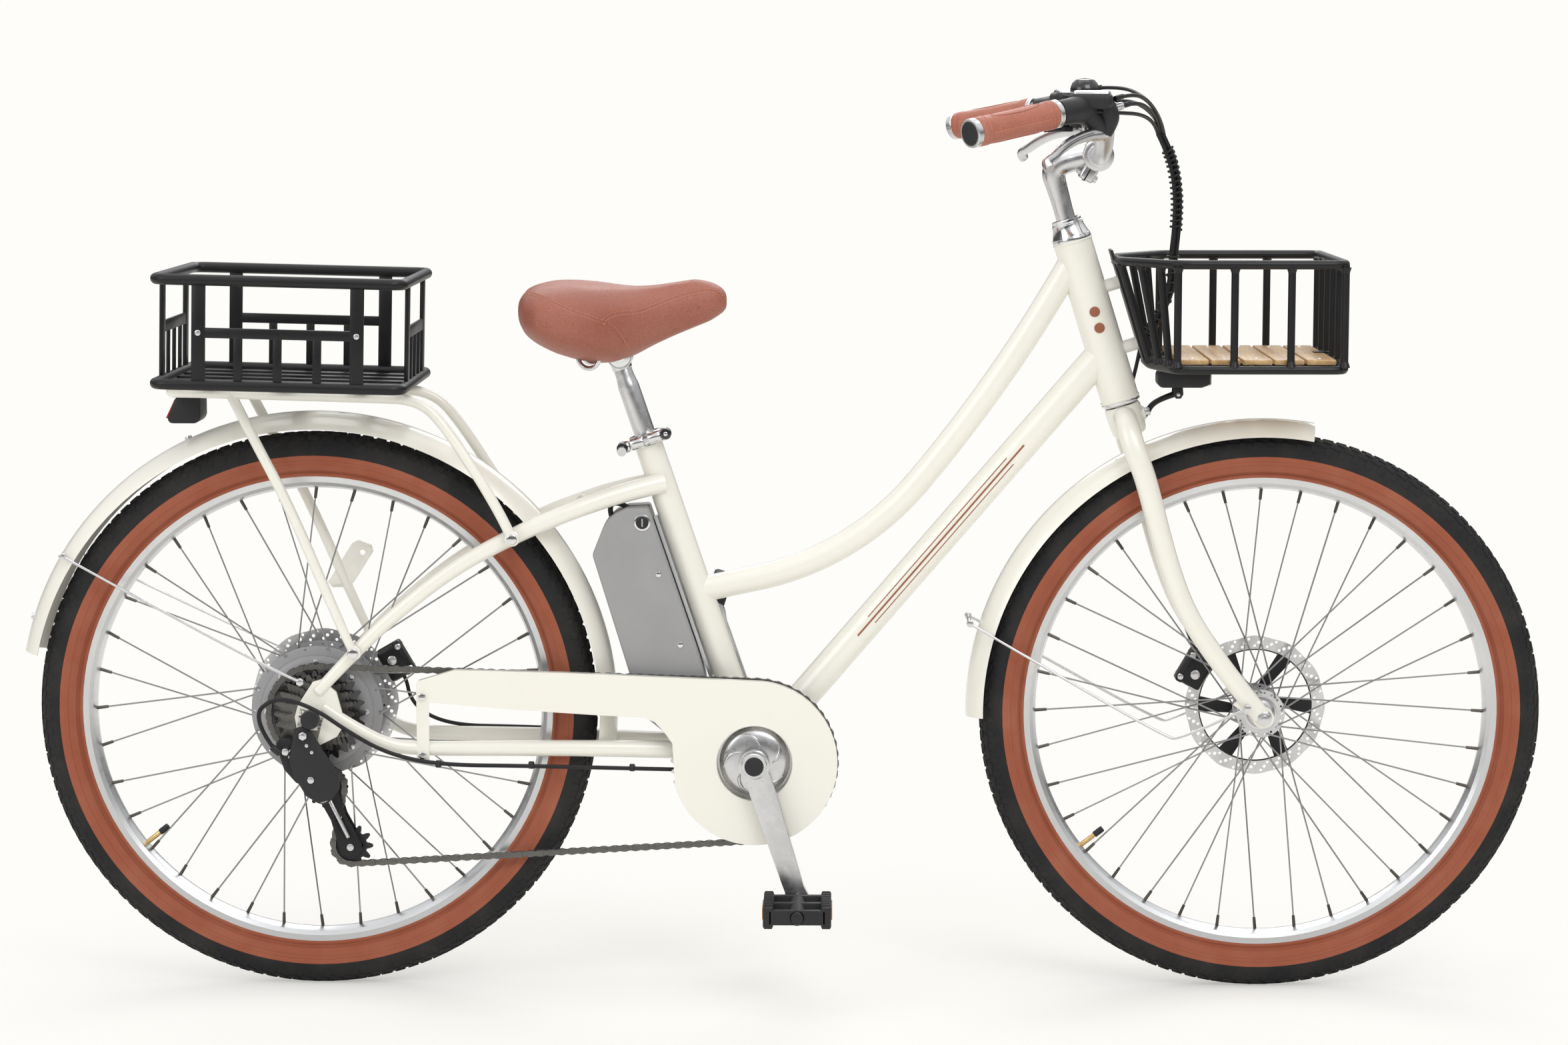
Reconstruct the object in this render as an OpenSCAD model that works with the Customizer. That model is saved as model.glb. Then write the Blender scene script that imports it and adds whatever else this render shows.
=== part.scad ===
// Step-through electric city bicycle with a front basket, a rear crate and a rear hub motor.
// X points forward, Y to the rider's left, Z up. The tyres stand on Z = 0 and the origin is
// under the middle of the bicycle. Modules are drawn with the rear axle at X = 0 and moved once.

/* [Wheels] */
// Distance between the two axles
wheelbase = 1133; // [1080:1:1180]
// Outer radius of both tyres
tyre_r = 336.5; // [330:0.5:342]
// Width of the tyres
tyre_w = 57; // [50:1:60]
// Outer radius of the rims
rim_r = 285; // [283:0.5:287]
// Number of spokes in each wheel
spokes = 36; // [24:4:36]

/* [Frame] */
// Lean of the steering axis from vertical, in degrees
head_tilt = 17.2; // [16:0.1:18]
// Length of the head tube
head_len = 200; // [180:1:210]
// Lean of the seat tube from vertical, in degrees
seat_tilt = 18.75; // [18:0.25:19.5]
// Length of the seat tube above the crank axle
seat_len = 400; // [390:1:410]
// Outer radius of the down tube
down_r = 18.5; // [16:0.5:20]
// Outer radius of the curved top tube
top_r = 15.5; // [14:0.5:16]

/* [Drive] */
// Length of a crank, axle to pedal
crank_len = 170; // [165:1:175]
// Angle of the right crank forward from straight down, in degrees
crank_turn = 17.8; // [0:0.1:30]
// Teeth on the chainring
ring_teeth = 48; // [46:1:48]
// Teeth on the sprocket that the chain runs on
cog_teeth = 28; // [28]

/* [Seat] */
// Height of the saddle's top above the ground
saddle_top = 848; // [830:1:870]
// Radius of the seatpost
post_r = 12.7; // [12.7]

/* [Handlebar] */
// Radius of the handlebar tube
bar_r = 11.1; // [11.1]
// Half the distance between the outer ends of the grips
bar_half = 300; // [290:1:320]

/* [Hidden] */
$fn = 48;

ivory = "#ecead8";
tan_brown = "#a8583f";
pitch = 12.7;
axle_z = tyre_r;
centre_x = 558;
head_foot = [963, 0, 711];
crank_axle = [527, 0, 281];
seat_top = crank_axle + seat_len * [-sin(seat_tilt), 0, cos(seat_tilt)];
clamp_at = [933, 0, 1002];
grip_in = [870, 222, 1053];
grip_out = [771, bar_half, 1032];
lever_pivot = [927, 168, 1030];
lever_tip = [852, 286, 1002];
lever_dir = unit(lever_tip - lever_pivot);
lever_axis = unit(cross(lever_dir, [-0.857, -0.043, 0.514]));
lever_pull = cross(lever_axis, lever_dir);
ring_y = -45;
cog_y = -36;
ring_r = ring_teeth * pitch / 360 * 180 / PI;
cog_r = cog_teeth * pitch / 360 * 180 / PI;
pulley_r = 11 * pitch / 360 * 180 / PI;
upper_pulley_at = [12, 247];
lower_pulley_at = [41, 175];
pedal_at = crank_axle + crank_len * [sin(crank_turn), 0, -cos(crank_turn)];
left_pedal_at = 2 * crank_axle - pedal_at;
motor_flange_r = 79;
hub_flange_r = 29;
light_pivot = [1031, 0, 719];
battery_key_at = [393, -36, 567];
running = 0.06;

// ---- small tools ----
function unit(v) = v / norm(v);
function between(a, b, t) = a + (b - a) * t;
// One round of corner cutting, which keeps both ends
function cut(p) = [p[0], for (i = [0 : len(p) - 2]) for (t = [0.25, 0.75])
    between(p[i], p[i + 1], t), p[len(p) - 1]];
function smooth(p) = cut(cut(p));
function heading(p, i) = unit(p[min(i + 1, len(p) - 1)] - p[max(i - 1, 0)]);
function ring_point(p, i, a, depth, width, side) =
    let (h = heading(p, i), s = unit(cross(h, side)), u = cross(s, h))
    p[i] + depth * sin(a) * s + width * cos(a) * u;

// A bent tube along p. Its half depth and half width go from the first to the second pair.
module bent(p, from, to, side = [0, 1, 0], sides = 12) {
    n = len(p);
    points = [for (i = [0 : n - 1]) let (r = between(from, to, i / (n - 1)))
        for (k = [0 : sides - 1]) ring_point(p, i, 360 * k / sides, r[0], r[1], side)];
    walls = [for (i = [0 : n - 2]) for (k = [0 : sides - 1])
        let (a = i * sides + k, b = i * sides + (k + 1) % sides) [a, a + sides, b + sides, b]];
    ends = [[for (k = [0 : sides - 1]) k], [for (k = [sides - 1 : -1 : 0]) (n - 1) * sides + k]];
    polyhedron(points, concat(walls, ends), convexity = 6);
}

// Local Z runs from a to b
module along(a, b) {
    d = b - a;
    translate(a) rotate([0, acos(d.z / norm(d)), atan2(d.y, d.x)]) children();
}
module rod(a, b, r) { along(a, b) cylinder(r = r, h = norm(b - a)); }
module wire(p, r) {
    for (i = [0 : len(p) - 2]) rod(p[i], p[i + 1], r);
    for (q = p) translate(q) sphere(r * 1.06, $fn = 24);
}
module both_sides() { children(); mirror([0, 1, 0]) children(); }
// A disc or bar across the bicycle, from y0 to y1
module across(r, y0, y1) { translate([0, y1, 0]) rotate([90, 0, 0]) cylinder(r = r, h = y1 - y0); }
// An outline in X and Z, given its thickness from y0 to y1
module plate(y0, y1) { translate([0, y1, 0]) rotate([90, 0, 0]) linear_extrude(y1 - y0) children(); }
module placed(c) { color(c) translate([-centre_x, 0, 0]) children(); }
module on_head() { translate(head_foot) rotate([0, -head_tilt, 0]) children(); }
module on_seat() { translate(crank_axle) rotate([0, -seat_tilt, 0]) children(); }
module at_rear() { translate([0, 0, axle_z]) children(); }
module at_front() { translate([wheelbase, 0, axle_z]) children(); }
// A full or part turn about the Y axis of an outline in (radius, y)
module turned(turn = 360, start = 0) {
    rotate([90, 0, 0]) rotate([0, 0, start]) rotate_extrude(angle = turn, $fn = 96) children();
}

// ---- chain path: circles as [centre, radius, sense], sense 1 turns clockwise ----
loop = [[[crank_axle.x, crank_axle.z], ring_r, 1], [lower_pulley_at, pulley_r, 1],
    [upper_pulley_at, pulley_r, -1], [[0, axle_z], cog_r, 1]];
function tangent_angle(a, b) = let (d = b[0] - a[0])
    atan2(d.y, d.x) + acos((a[2] * a[1] - b[2] * b[1]) / norm(d));
function arc_points(before, c, after) =
    let (flip = c[2] > 0 ? 0 : 180, a0 = tangent_angle(before, c) + flip,
        a1 = tangent_angle(c, after) + flip, turn = ((c[2] * (a0 - a1)) % 360 + 360) % 360,
        steps = ceil(turn / 8))
    [for (i = [0 : steps]) let (a = a0 - c[2] * turn * i / steps)
        c[0] + c[1] * [cos(a), sin(a)]];
chain_path = [for (i = [0 : 3]) each
    arc_points(loop[(i + 3) % 4], loop[i], loop[(i + 1) % 4])];
function chain_y(x) = cog_y + (ring_y - cog_y) * x / crank_axle.x;

// ---- frame ----
module head_tube() placed(ivory) {
    difference() {
        union() {
            on_head() cylinder(r = 23, h = head_len);
            for (h = [60, 136]) on_head() translate([20, 0, h]) rotate([0, 90, 0])
                cylinder(r = 8, h = 18.5);
        }
        on_head() translate([0, 0, -1]) cylinder(r = 17, h = head_len + 2);
    }
}

module headset() placed("silver") on_head() {
    difference() {
        union() {
            translate([0, 0, head_len]) cylinder(r1 = 23, r2 = 16.5, h = 26);
            translate([0, 0, head_len - 12]) cylinder(r = 17, h = 12);
            translate([0, 0, -5]) cylinder(r = 23, h = 5);
            translate([0, 0, -1]) cylinder(r = 17, h = 13);
        }
        translate([0, 0, -10]) cylinder(r = 14.3 + running, h = head_len + 50);
        translate([0, 0, 12]) cylinder(r = 20, h = head_len - 24);
    }
}

module down_tube() placed(ivory) difference() {
    rod([527, 0, 285.5], [938, 0, 764], down_r);
    on_head() cylinder(r = 22, h = head_len);
    translate(crank_axle) across(20, -40, 40);
}

// A short straight, a bow and a nearly straight rise to the head, each on the end of the last
module top_tube() placed(ivory) difference() {
    translate([457, 0, 481]) rotate([0, -12, 0]) {
        rotate([0, 90, 0]) cylinder(r = top_r, h = 75);
        translate([75, 0, 0]) {
            arc_tube(340, 38);
            translate(340 * [sin(38), 0, 1 - cos(38)]) rotate([0, -38, 0]) {
                arc_tube(1719, 10.75);
                translate([-3, 0, 0]) rotate([0, 90, 0]) cylinder(r = top_r + 0.2, h = 6);
            }
        }
    }
    on_head() cylinder(r = 22, h = head_len);
    on_seat() cylinder(r = 16, h = seat_len);
}
// A tube that starts along X and bends upwards by turn
module arc_tube(bend_r, turn) {
    translate([0, 0, bend_r]) rotate([90, 0, 0]) rotate([0, 0, -90])
        rotate_extrude(angle = turn, $fn = 96) translate([bend_r, 0]) circle(top_r);
}

module seat_tube() placed(ivory) difference() {
    union() {
        on_seat() cylinder(r = 16.8, h = seat_len);
        translate(crank_axle) across(21, -34, 34);
    }
    on_seat() translate([0, 0, 150]) cylinder(r = post_r + running, h = seat_len);
    translate(crank_axle) across(8.5 + running, -35, 35);
}

seat_stay = [[414, 15, 612], [370, 27, 603], [300, 46, 579], [240, 56, 553], [170, 62, 516],
    [95, 67, 457], [45, 71, 408], [12, 73, 372]];
module seat_stays() placed(ivory) {
    difference() {
        union() {
            both_sides() bent(smooth(seat_stay), [13, 8], [11, 6]);
            translate([318, 0, 586]) across(8, -38, 38);
        }
        on_seat() cylinder(r = 16, h = seat_len);
    }
    both_sides() translate([241, 0, 552]) across(5, 62, 69);
}

chain_stay = [[522, 20, 284], [470, 24, 290], [400, 32, 293], [300, 43, 296], [190, 52, 297],
    [125, 54, 297], [90, 62, 302], [50, 71, 325], [22, 73, 345]];
module chain_stays() placed(ivory) difference() {
    union() {
        both_sides() bent(smooth(chain_stay), [12, 7], [11, 6]);
        both_sides() plate(67.5, 73.5) {
            translate([0, axle_z]) circle(20);
            polygon([[-16, 348], [2, 380], [30, 368], [40, 330], [20, 318]]);
        }
        plate(-73.5, -67.5) polygon([[-14, 350], [16, 340], [6, 306], [-14, 304]]);
        translate([352, 0, 294]) across(8, -33, 33);
    }
    translate(crank_axle) across(20, -40, 40);
    at_rear() across(6.1, -90, 90);
}

module rear_axle() {
    at_rear() across(6, -84, 84);
    at_rear() both_sides() across(10, 74, 80);
    at_rear() both_sides() across(11, 82, 95);
}
rear_rod = [[-301, 34, 525], [-232, 44, 489], [-54, 72, 398], [-12, 80, 381]];
module frame_hardware() placed("silver") {
    rear_axle();
    both_sides() bent(smooth(rear_rod), [1.6, 1.6], [1.6, 1.6], sides = 8);
    both_sides() translate([-12, 0, 381]) across(5, 75, 83);
    both_sides() translate([241, 0, 552]) across(6.5, 78.5, 82);
    both_sides() translate([52, 0, 422]) across(6.5, 84.5, 88);
    translate([-8, 0, 318]) across(7, -79, -74);
}

// ---- rack, crate and lamps ----
rack_rail = [[-166, 0, 724], [-166, 50, 724], [-150, 62, 724], [80, 62, 718], [128, 64, 716],
    [160, 66, 690], [236, 70, 568], [242, 71, 548]];
rack_leg = [[-92, 62, 722], [-66, 66, 672], [-23, 71, 591], [35, 79, 453], [52, 81, 418]];
module rear_rack() placed(ivory) {
    both_sides() bent(smooth(rack_rail), [6.5, 6.5], [6.5, 5.5], side = [0.3, 0.2, 0.95]);
    both_sides() bent(smooth(rack_leg), [6.5, 6.5], [6.5, 3.5]);
    for (x = [-80, -10, 60]) rod([x, -60, 722.5 - x / 46], [x, 60, 722.5 - x / 46], 5);
    both_sides() translate([241, 0, 552]) across(9, 69, 78);
    difference() {
        plate(74, 77) polygon([[2, 480], [40, 530], [58, 522], [26, 474]]);
        for (q = [[45, 517], [20, 487]]) translate([q.x, 0, q.y]) across(3, 70, 80);
    }
}

crate = [300, 290, 122];
crate_at = [-25, 0, 737];
module crate_ring(h) {
    c = crate / 2 - [6, 6, 0];
    wire([for (q = [[-1, -1], [1, -1], [1, 1], [-1, 1], [-1, -1]]) [q.x * c.x, q.y * c.y, h]], 6);
}
module rear_crate() placed("#17181a") translate(crate_at) rotate([0, 1.4, 0]) {
    crate_ring(0);
    crate_ring(crate.z);
    for (sx = [-1, 1]) for (sy = [-1, 1]) translate([sx * 92 - 8, sy * 139 - 2.5, 0])
        cube([16, 5, crate.z]);
    for (sx = [-1, 1]) for (sy = [-1, 1]) translate([sx * 144 - 2.5, sy * 80 - 8, 0])
        cube([5, 16, crate.z]);
    for (sy = [-1, 1]) translate([-92, sy * 139 - 2.5, 55]) cube([184, 5, 12]);
    for (sx = [-1, 1]) translate([sx * 144 - 2.5, -139, 60]) cube([5, 278, 12]);
    for (i = [-2 : 2]) translate([-144, i * 52 - 9, -4]) cube([288, 18, 4]);
    for (x = [-90, 0, 90]) translate([x - 10, -139, -4]) cube([20, 278, 4]);
}

module tail_light() placed("#1a1a1c") difference() {
    translate([-174, -26, 684]) cube([40, 52, 34]);
    translate([-170, -40, 700]) rotate([0, 14, 0]) translate([-20, 0, -30]) cube([20, 80, 60]);
}

// A curved mudguard shell: a thin part of a circle, turned about the axle
module mudguard(outer_r, from, to) {
    turned(to - from, from) intersection() {
        translate([outer_r - 37, 0]) difference() { circle(37); circle(35); }
        translate([outer_r - 20, -40]) square([40, 80]);
    }
}
module rear_mudguard() placed(ivory) at_rear() mudguard(361, -6, 168.5);
module front_mudguard() placed(ivory) at_front() mudguard(353, 80, 181);

// ---- chain guard ----
module guard_outline(inset) {
    translate([crank_axle.x, crank_axle.z]) circle(99 - inset, $fn = 96);
    polygon([[124 + inset, 355 + inset], [124 + inset, 378 - inset], [170, 393 - inset],
        [527, 380 - inset], [470, 310], [429, 312 + inset], [410, 333 + inset],
        [339, 338 + inset], [246, 345 + inset], [140, 355 + inset]]);
}
module chain_guard() placed(ivory) difference() {
    union() {
        difference() {
            plate(-62.5, -52) guard_outline(0);
            plate(-60, -50) guard_outline(2.5);
        }
        plate(-62.5, -60) translate([124, 282]) square([14, 90]);
    }
    translate(crank_axle) across(46.5, -70, -40);
    translate([131, 0, 361]) across(2.5, -70, -55);
}

// ---- battery behind the seat tube ----
module battery_rail() placed("silver") on_seat() translate([-21.4, -14, 108]) {
    cube([4, 28, 205]);
}
battery_side = [[333, 528], [349, 568], [374, 583], [404, 586], [420, 536], [458, 414],
    [470, 366], [446, 318], [430, 308], [398, 330], [377, 384]];
module battery() placed("#a9aaab") difference() {
    plate(-36, 36) polygon(battery_side);
    on_seat() translate([-22.5, -60, 0]) cube([80, 120, seat_len]);
    translate([battery_key_at.x, 0, battery_key_at.z]) across(8, -37, -30);
}
module battery_lock() placed("#222222") translate([battery_key_at.x, 0, battery_key_at.z]) {
    across(8 - running, -37.5, -30.2);
}

// ---- front basket, fixed to the head tube ----
basket_x = [1018, 1213];
basket_half = 130;
basket_floor = 757;
basket_top = 879;
basket_rear_x = [994, 957];
function basket_plan(rear_x, inset) = let (w = basket_half - inset, n = 42 - inset / 2)
    [[rear_x + inset, -n], [basket_x[0] + inset / 2, -w], [basket_x[1] - inset, -w],
    [basket_x[1] - inset, w], [basket_x[0] + inset / 2, w], [rear_x + inset, n]];
low_ring = [for (q = basket_plan(basket_rear_x[0], 0)) [q.x, q.y, basket_floor]];
high_ring = [for (q = basket_plan(basket_rear_x[1], 0)) [q.x, q.y, basket_top]];
module basket_bars(i, stops) {
    for (t = stops) rod(between(low_ring[i], low_ring[i + 1], t),
        between(high_ring[i], high_ring[i + 1], t), 4);
}
module basket_ring(z, rear_x) translate([0, 0, z - 4.5]) linear_extrude(9) difference() {
    polygon(basket_plan(rear_x, -4.5));
    polygon(basket_plan(rear_x, 4.5));
}
module basket_frame() placed("#17181a") {
    basket_ring(basket_floor, basket_rear_x[0]);
    basket_ring(basket_top, basket_rear_x[1]);
    basket_bars(0, [0, 0.35, 0.7, 1]);
    basket_bars(1, [0.34, 0.68, 1]);
    basket_bars(2, [0.2, 0.4, 0.6, 0.8, 1]);
    basket_bars(3, [0.32, 0.66, 1]);
    basket_bars(4, [0.3, 0.65, 1]);
    for (y = [-80, 0, 80]) translate([basket_rear_x[0], y / 2 - 3, basket_floor - 3])
        rotate([0, 0, atan2(y / 2, 219)]) cube([222, 6, 6]);
    on_head() translate([38.5, -20, 36]) cube([3.5, 40, 140]);
}
module basket_deck() placed("#c79a5a") {
    for (i = [0 : 4]) translate([1022 + i * 37, -122, 762.5]) cube([35, 244, 6]);
}

// ---- brakes ----
module caliper_block(y0, y1, slot0, slot1) difference() {
    translate([-22, y0, -15]) cube([44, y1 - y0, 34]);
    translate([-30, slot0, -30]) cube([60, slot1 - slot0, 41]);
}
module rear_caliper() placed("#1b1b1d") translate([85, 0, 385]) rotate([0, 60, 0])
    caliper_block(40, 64, 50, 54);
module front_caliper() placed("#1b1b1d") translate([1062, 0, 378]) rotate([0, -60, 0])
    caliper_block(30, 60, 36.5, 41.5);

// ---- cables held by the frame ----
shift_cable = [[-50, -86, 308], [-70, -88, 340], [-40, -90, 366], [5, -90, 352], [45, -84, 322],
    [90, -74, 294], [150, -66, 279], [260, -54, 276], [380, -42, 271], [474, -36, 268]];
module frame_cables() placed("#151515") {
    bent(smooth(shift_cable), [2.5, 2.5], [2.5, 2.5], side = [0, 0.97, 0.24], sides = 8);
}

// ---- derailleur ----
module derailleur_body() placed("#1b1b1d") {
    translate([-8, 0, 318]) across(9, -92, -80);
    plate(-86, -80) polygon([[-17, 318], [1, 320], [34, 268], [24, 238], [2, 236], [-26, 280]]);
    translate([upper_pulley_at.x, 0, upper_pulley_at.y]) across(14, -80, -48);
    plate(-72, -58) polygon([[-44, 306], [-24, 312], [14, 268], [-2, 250], [-34, 274]]);
}
module cage_plate(y0, y1) plate(y0, y1) difference() {
    union() {
        translate(upper_pulley_at) circle(13);
        translate(lower_pulley_at) circle(13);
        polygon([[24, 252], [53, 180], [29, 170], [0, 242]]);
    }
}
module derailleur_cage() placed("#1b1b1d") {
    cage_plate(-46, -43.5);
    cage_plate(-28.5, -26);
    for (q = [upper_pulley_at, lower_pulley_at]) translate([q.x, 0, q.y]) across(3, -46, -26);
}
module pulley(q) placed("#202022") translate([q.x, 0, q.y]) difference() {
    across(pulley_r - 4.6, cog_y - 4.5, cog_y + 4.5);
    across(3 + running, -60, 0);
}
module upper_pulley() pulley(upper_pulley_at);
module lower_pulley() pulley(lower_pulley_at);

// The chain as a closed band as deep and as wide as its links
module chain() placed("#6d6a66") {
    n = len(chain_path);
    points = [for (i = [0 : n - 1])
        let (p = chain_path[i], d = unit(chain_path[(i + 1) % n] - chain_path[(i + n - 1) % n]))
        for (q = [[-1, -1], [1, -1], [1, 1], [-1, 1]])
            [p.x - d.y * 4 * q.x, chain_y(p.x) + 3.4 * q.y, p.y + d.x * 4 * q.x]];
    faces = [for (i = [0 : n - 1]) for (k = [0 : 3])
        let (a = 4 * i + k, b = 4 * i + (k + 1) % 4, up = (4 * i + 4) % (4 * n))
        [a, b, up + (k + 1) % 4, up + k]];
    polyhedron(points, faces, convexity = 8);
}

// ---- crankset ----
module arm(end, y0, y1) plate(y0, y1) {
    c = [crank_axle.x, crank_axle.z];
    e = [end.x, end.z];
    n = unit([c.y - e.y, e.x - c.x]);
    translate(c) circle(19);
    translate(e) circle(14.5);
    polygon([c + 17 * n, e + 14 * n, e - 14 * n, c - 17 * n]);
}
module pedal_pin(end, y0, y1) translate(end) { across(5, y0, y1); }
module crank_right() placed("silver") {
    difference() {
        arm(pedal_at, -82, -67);
        translate(crank_axle) across(8.5, -90, -60);
    }
    pedal_pin(pedal_at, -176, -82);
    translate(crank_axle) across(11, -86, -81);
}
module crank_left() placed("silver") {
    arm(left_pedal_at, 67, 82);
    pedal_pin(left_pedal_at, 82, 176);
    translate(crank_axle) across(8.5, -82.5, 82);
}
module chainring() placed("silver") difference() {
    union() {
        translate(crank_axle) difference() {
            across(ring_r - 4.6, ring_y - 1.5, ring_y + 1.5);
            for (a = [0 : 72 : 288]) rotate([0, a, 0]) translate([64, 0, 0]) across(18, -60, -30);
        }
        translate(crank_axle) across(42, -56, -52);
        translate(crank_axle) across(30, -52.5, ring_y);
        translate(crank_axle) across(18, -66.5, -37);
    }
    translate(crank_axle) across(8.6, -90, 0);
}

// A platform pedal: two bars across and three ribs on a bored barrel
module pedal(end, turn) placed("#1a1a1b") translate(end) rotate([0, turn, 0]) difference() {
    union() {
        across(9, -178, -86);
        for (s = [-1, 1]) translate([s * 34 - 6, -178, -13]) cube([12, 88, 26]);
        for (y = [-178, -137, -98]) translate([-34, y, -9]) cube([68, 8, 18]);
    }
    across(5 + running, -190, -80);
}
module pedal_right() pedal(pedal_at, 0);
module pedal_left() mirror([0, 1, 0]) pedal(left_pedal_at, -90 + crank_turn);

// ---- sprockets on the hub motor ----
module sprockets() placed("#8b8b8a") at_rear() difference() {
    union() {
        for (i = [0 : 6]) let (teeth = i == 0 ? cog_teeth : 26 - 2 * i)
            across(teeth * pitch / 2 / PI - 4.6, cog_y - 0.9 - 4.5 * i, cog_y + 0.9 - 4.5 * i);
        across(20, -65, -30);
    }
    across(6 + running, -70, -20);
}

// ---- wheels ----
tread_mid = tyre_r - tyre_w / 2;
module tyre() turned() difference() {
    translate([tread_mid, 0]) circle(tyre_w / 2);
    translate([tread_mid, 0]) circle(tyre_w / 2 - 4);
    translate([rim_r - 40, -14]) square([44, 28]);
}
module rim() turned() {
    polygon([[rim_r - 16, -8], [rim_r - 12, -16], [rim_r, -17], [rim_r, -14.5], [rim_r - 7, -12],
        [rim_r - 7, 12], [rim_r, 14.5], [rim_r, 17], [rim_r - 12, 16], [rim_r - 16, 8]]);
}
module spoke_set(flange_r, flange_y) {
    step = 720 / spokes;
    for (k = [0 : spokes / 2 - 1]) for (s = [-1, 1])
        let (a = k * step + (s > 0 ? step / 2 : 0), lean = (k % 2 == 0 ? 1 : -1) * 52,
            hub = a + lean * (flange_r > 50 ? 0.42 : 1), y = s * (flange_y + (k % 2 - 0.5) * 3.7))
        rod([flange_r * cos(hub), y, flange_r * sin(hub)],
            [(rim_r - 14) * cos(a), s * 2.5, (rim_r - 14) * sin(a)], 1);
}
module front_tyre() placed(tan_brown) at_front() tyre();
module rear_tyre() placed(tan_brown) at_rear() tyre();
module front_rim() placed("silver") at_front() rim();
module rear_rim() placed("silver") at_rear() rim();
module front_spokes() placed("silver") at_front() spoke_set(hub_flange_r - 3.5, 24.75);
module rear_spokes() placed("silver") at_rear() spoke_set(motor_flange_r - 3.5, 21.5);

module front_hub() placed("silver") at_front() difference() {
    union() {
        across(12, -26, 26);
        both_sides() across(hub_flange_r, 24, 25.5);
        across(16, 25, 37.9);
        across(16, -34, -25);
    }
    across(4.5 + running, -60, 60);
}
module motor_hub() placed("#8f9092") at_rear() difference() {
    union() {
        across(70, -27, 27);
        both_sides() across(motor_flange_r, 20.5, 22.5);
        across(26, 27, 50.9);
    }
    across(6 + running, -90, 90);
}
module rotor(r, y0) difference() {
    across(r, y0, y0 + 2);
    across(r - 16, y0 - 1, y0 + 3);
}
module rotor_arms(r, y0, bore) difference() {
    union() {
        across(22, y0, y0 + 2);
        for (a = [0 : 60 : 300]) rotate([0, a, 0]) translate([14, y0, -4]) cube([r - 26, 2, 8]);
    }
    across(bore, y0 - 1, y0 + 3);
}
module front_rotor() placed("silver") at_front() { rotor(85, 38); rotor_arms(85, 38, 4.6); }
module rear_rotor() placed("silver") at_rear() { rotor(90, 51); rotor_arms(90, 51, 6.1); }

// ---- fork and what turns with it ----
blade = [[966, 6, 694], [967, 26, 692], [971, 44, 676], [978, 52, 652], [989, 53, 626], [1005, 54, 565],
    [1021, 54, 510], [1040, 55, 462], [1070, 56, 416], [1104, 56, 371], [1129, 55, 341]];
module fork() placed(ivory) {
    difference() {
        on_head() translate([0, 0, -6]) cylinder(r = 14.3, h = head_len + 34);
        on_head() translate([0, 0, 60]) cylinder(r = 11.1 + running, h = head_len);
    }
    on_head() translate([0, 0, -42]) cylinder(r = 20.5, h = 36);
    both_sides() bent(smooth(blade), [15, 13], [10, 6.5]);
    difference() {
        both_sides() plate(50.2, 55) {
            translate([wheelbase, axle_z]) circle(13);
            polygon([[1110, 366], [1096, 352], [1122, 326], [1140, 345]]);
        }
        at_front() across(4.6, -70, 70);
    }
}

light_arm = [[986, 0, 688], [994, 0, 694], [1000, 0, 706], [1014, 0, 714], [1031, 0, 719]];
front_rod = [[784, 34, 446], [830, 44, 420], [1016, 62, 314], [1030, 66, 312], [1108, 69, 346]];
module fork_hardware() placed("silver") {
    at_front() across(4.5, -68, 68);
    at_front() both_sides() across(9, 56.5, 64);
    both_sides() bent(smooth(front_rod), [1.6, 1.6], [1.6, 1.6], sides = 8);
    both_sides() translate([1112, 0, 350]) across(5, 63, 70);
    difference() {
        union() {
            bent(smooth(light_arm), [2.5, 2.5], [4, 8]);
            translate(light_pivot) across(5, -8, 8);
        }
        translate(light_pivot) across(2.5, -30, 30);
    }
}

module headlight() placed("#18181a") {
    translate([1006, -22, 727.5]) cube([62, 44, 21]);
    both_sides() translate([1027, 9, 716]) cube([8, 5, 13]);
    translate(light_pivot) across(2.5 - running, -14, 14);
}

module stem() placed("silver") difference() {
    union() {
        on_head() translate([0, 0, 120]) cylinder(r = 11.1, h = 140);
        wire([[885, 0, 962], [880, 0, 978], [890, 0, 992], [932, 0, 1002]], 12.5);
        translate(clamp_at) across(19, -19, 19);
        translate(clamp_at) rotate([0, 30, 0]) translate([-7, -17, -32]) cube([16, 34, 18]);
    }
    translate(clamp_at) across(12.7, -40, 40);
}

bar_route = [[933, 32, 1002], [935, 55, 1006], [936, 90, 1031], [929, 126, 1050],
    [908, 176, 1059], [886, 209, 1056.4], [870, 222, 1053]];
module handlebar() placed("silver") {
    translate(clamp_at) across(12.7, -32, 32);
    both_sides() bent(smooth(bar_route), [bar_r, bar_r], [bar_r, bar_r], side = [0, 0, 1], sides = 16);
    both_sides() rod(grip_in, grip_out, bar_r);
}
module grips() placed(tan_brown) both_sides() difference() {
    rod(grip_in, grip_out, 16.5);
    along(grip_in, grip_out) translate([0, 0, -1]) cylinder(r = bar_r, h = 200);
}

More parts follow.
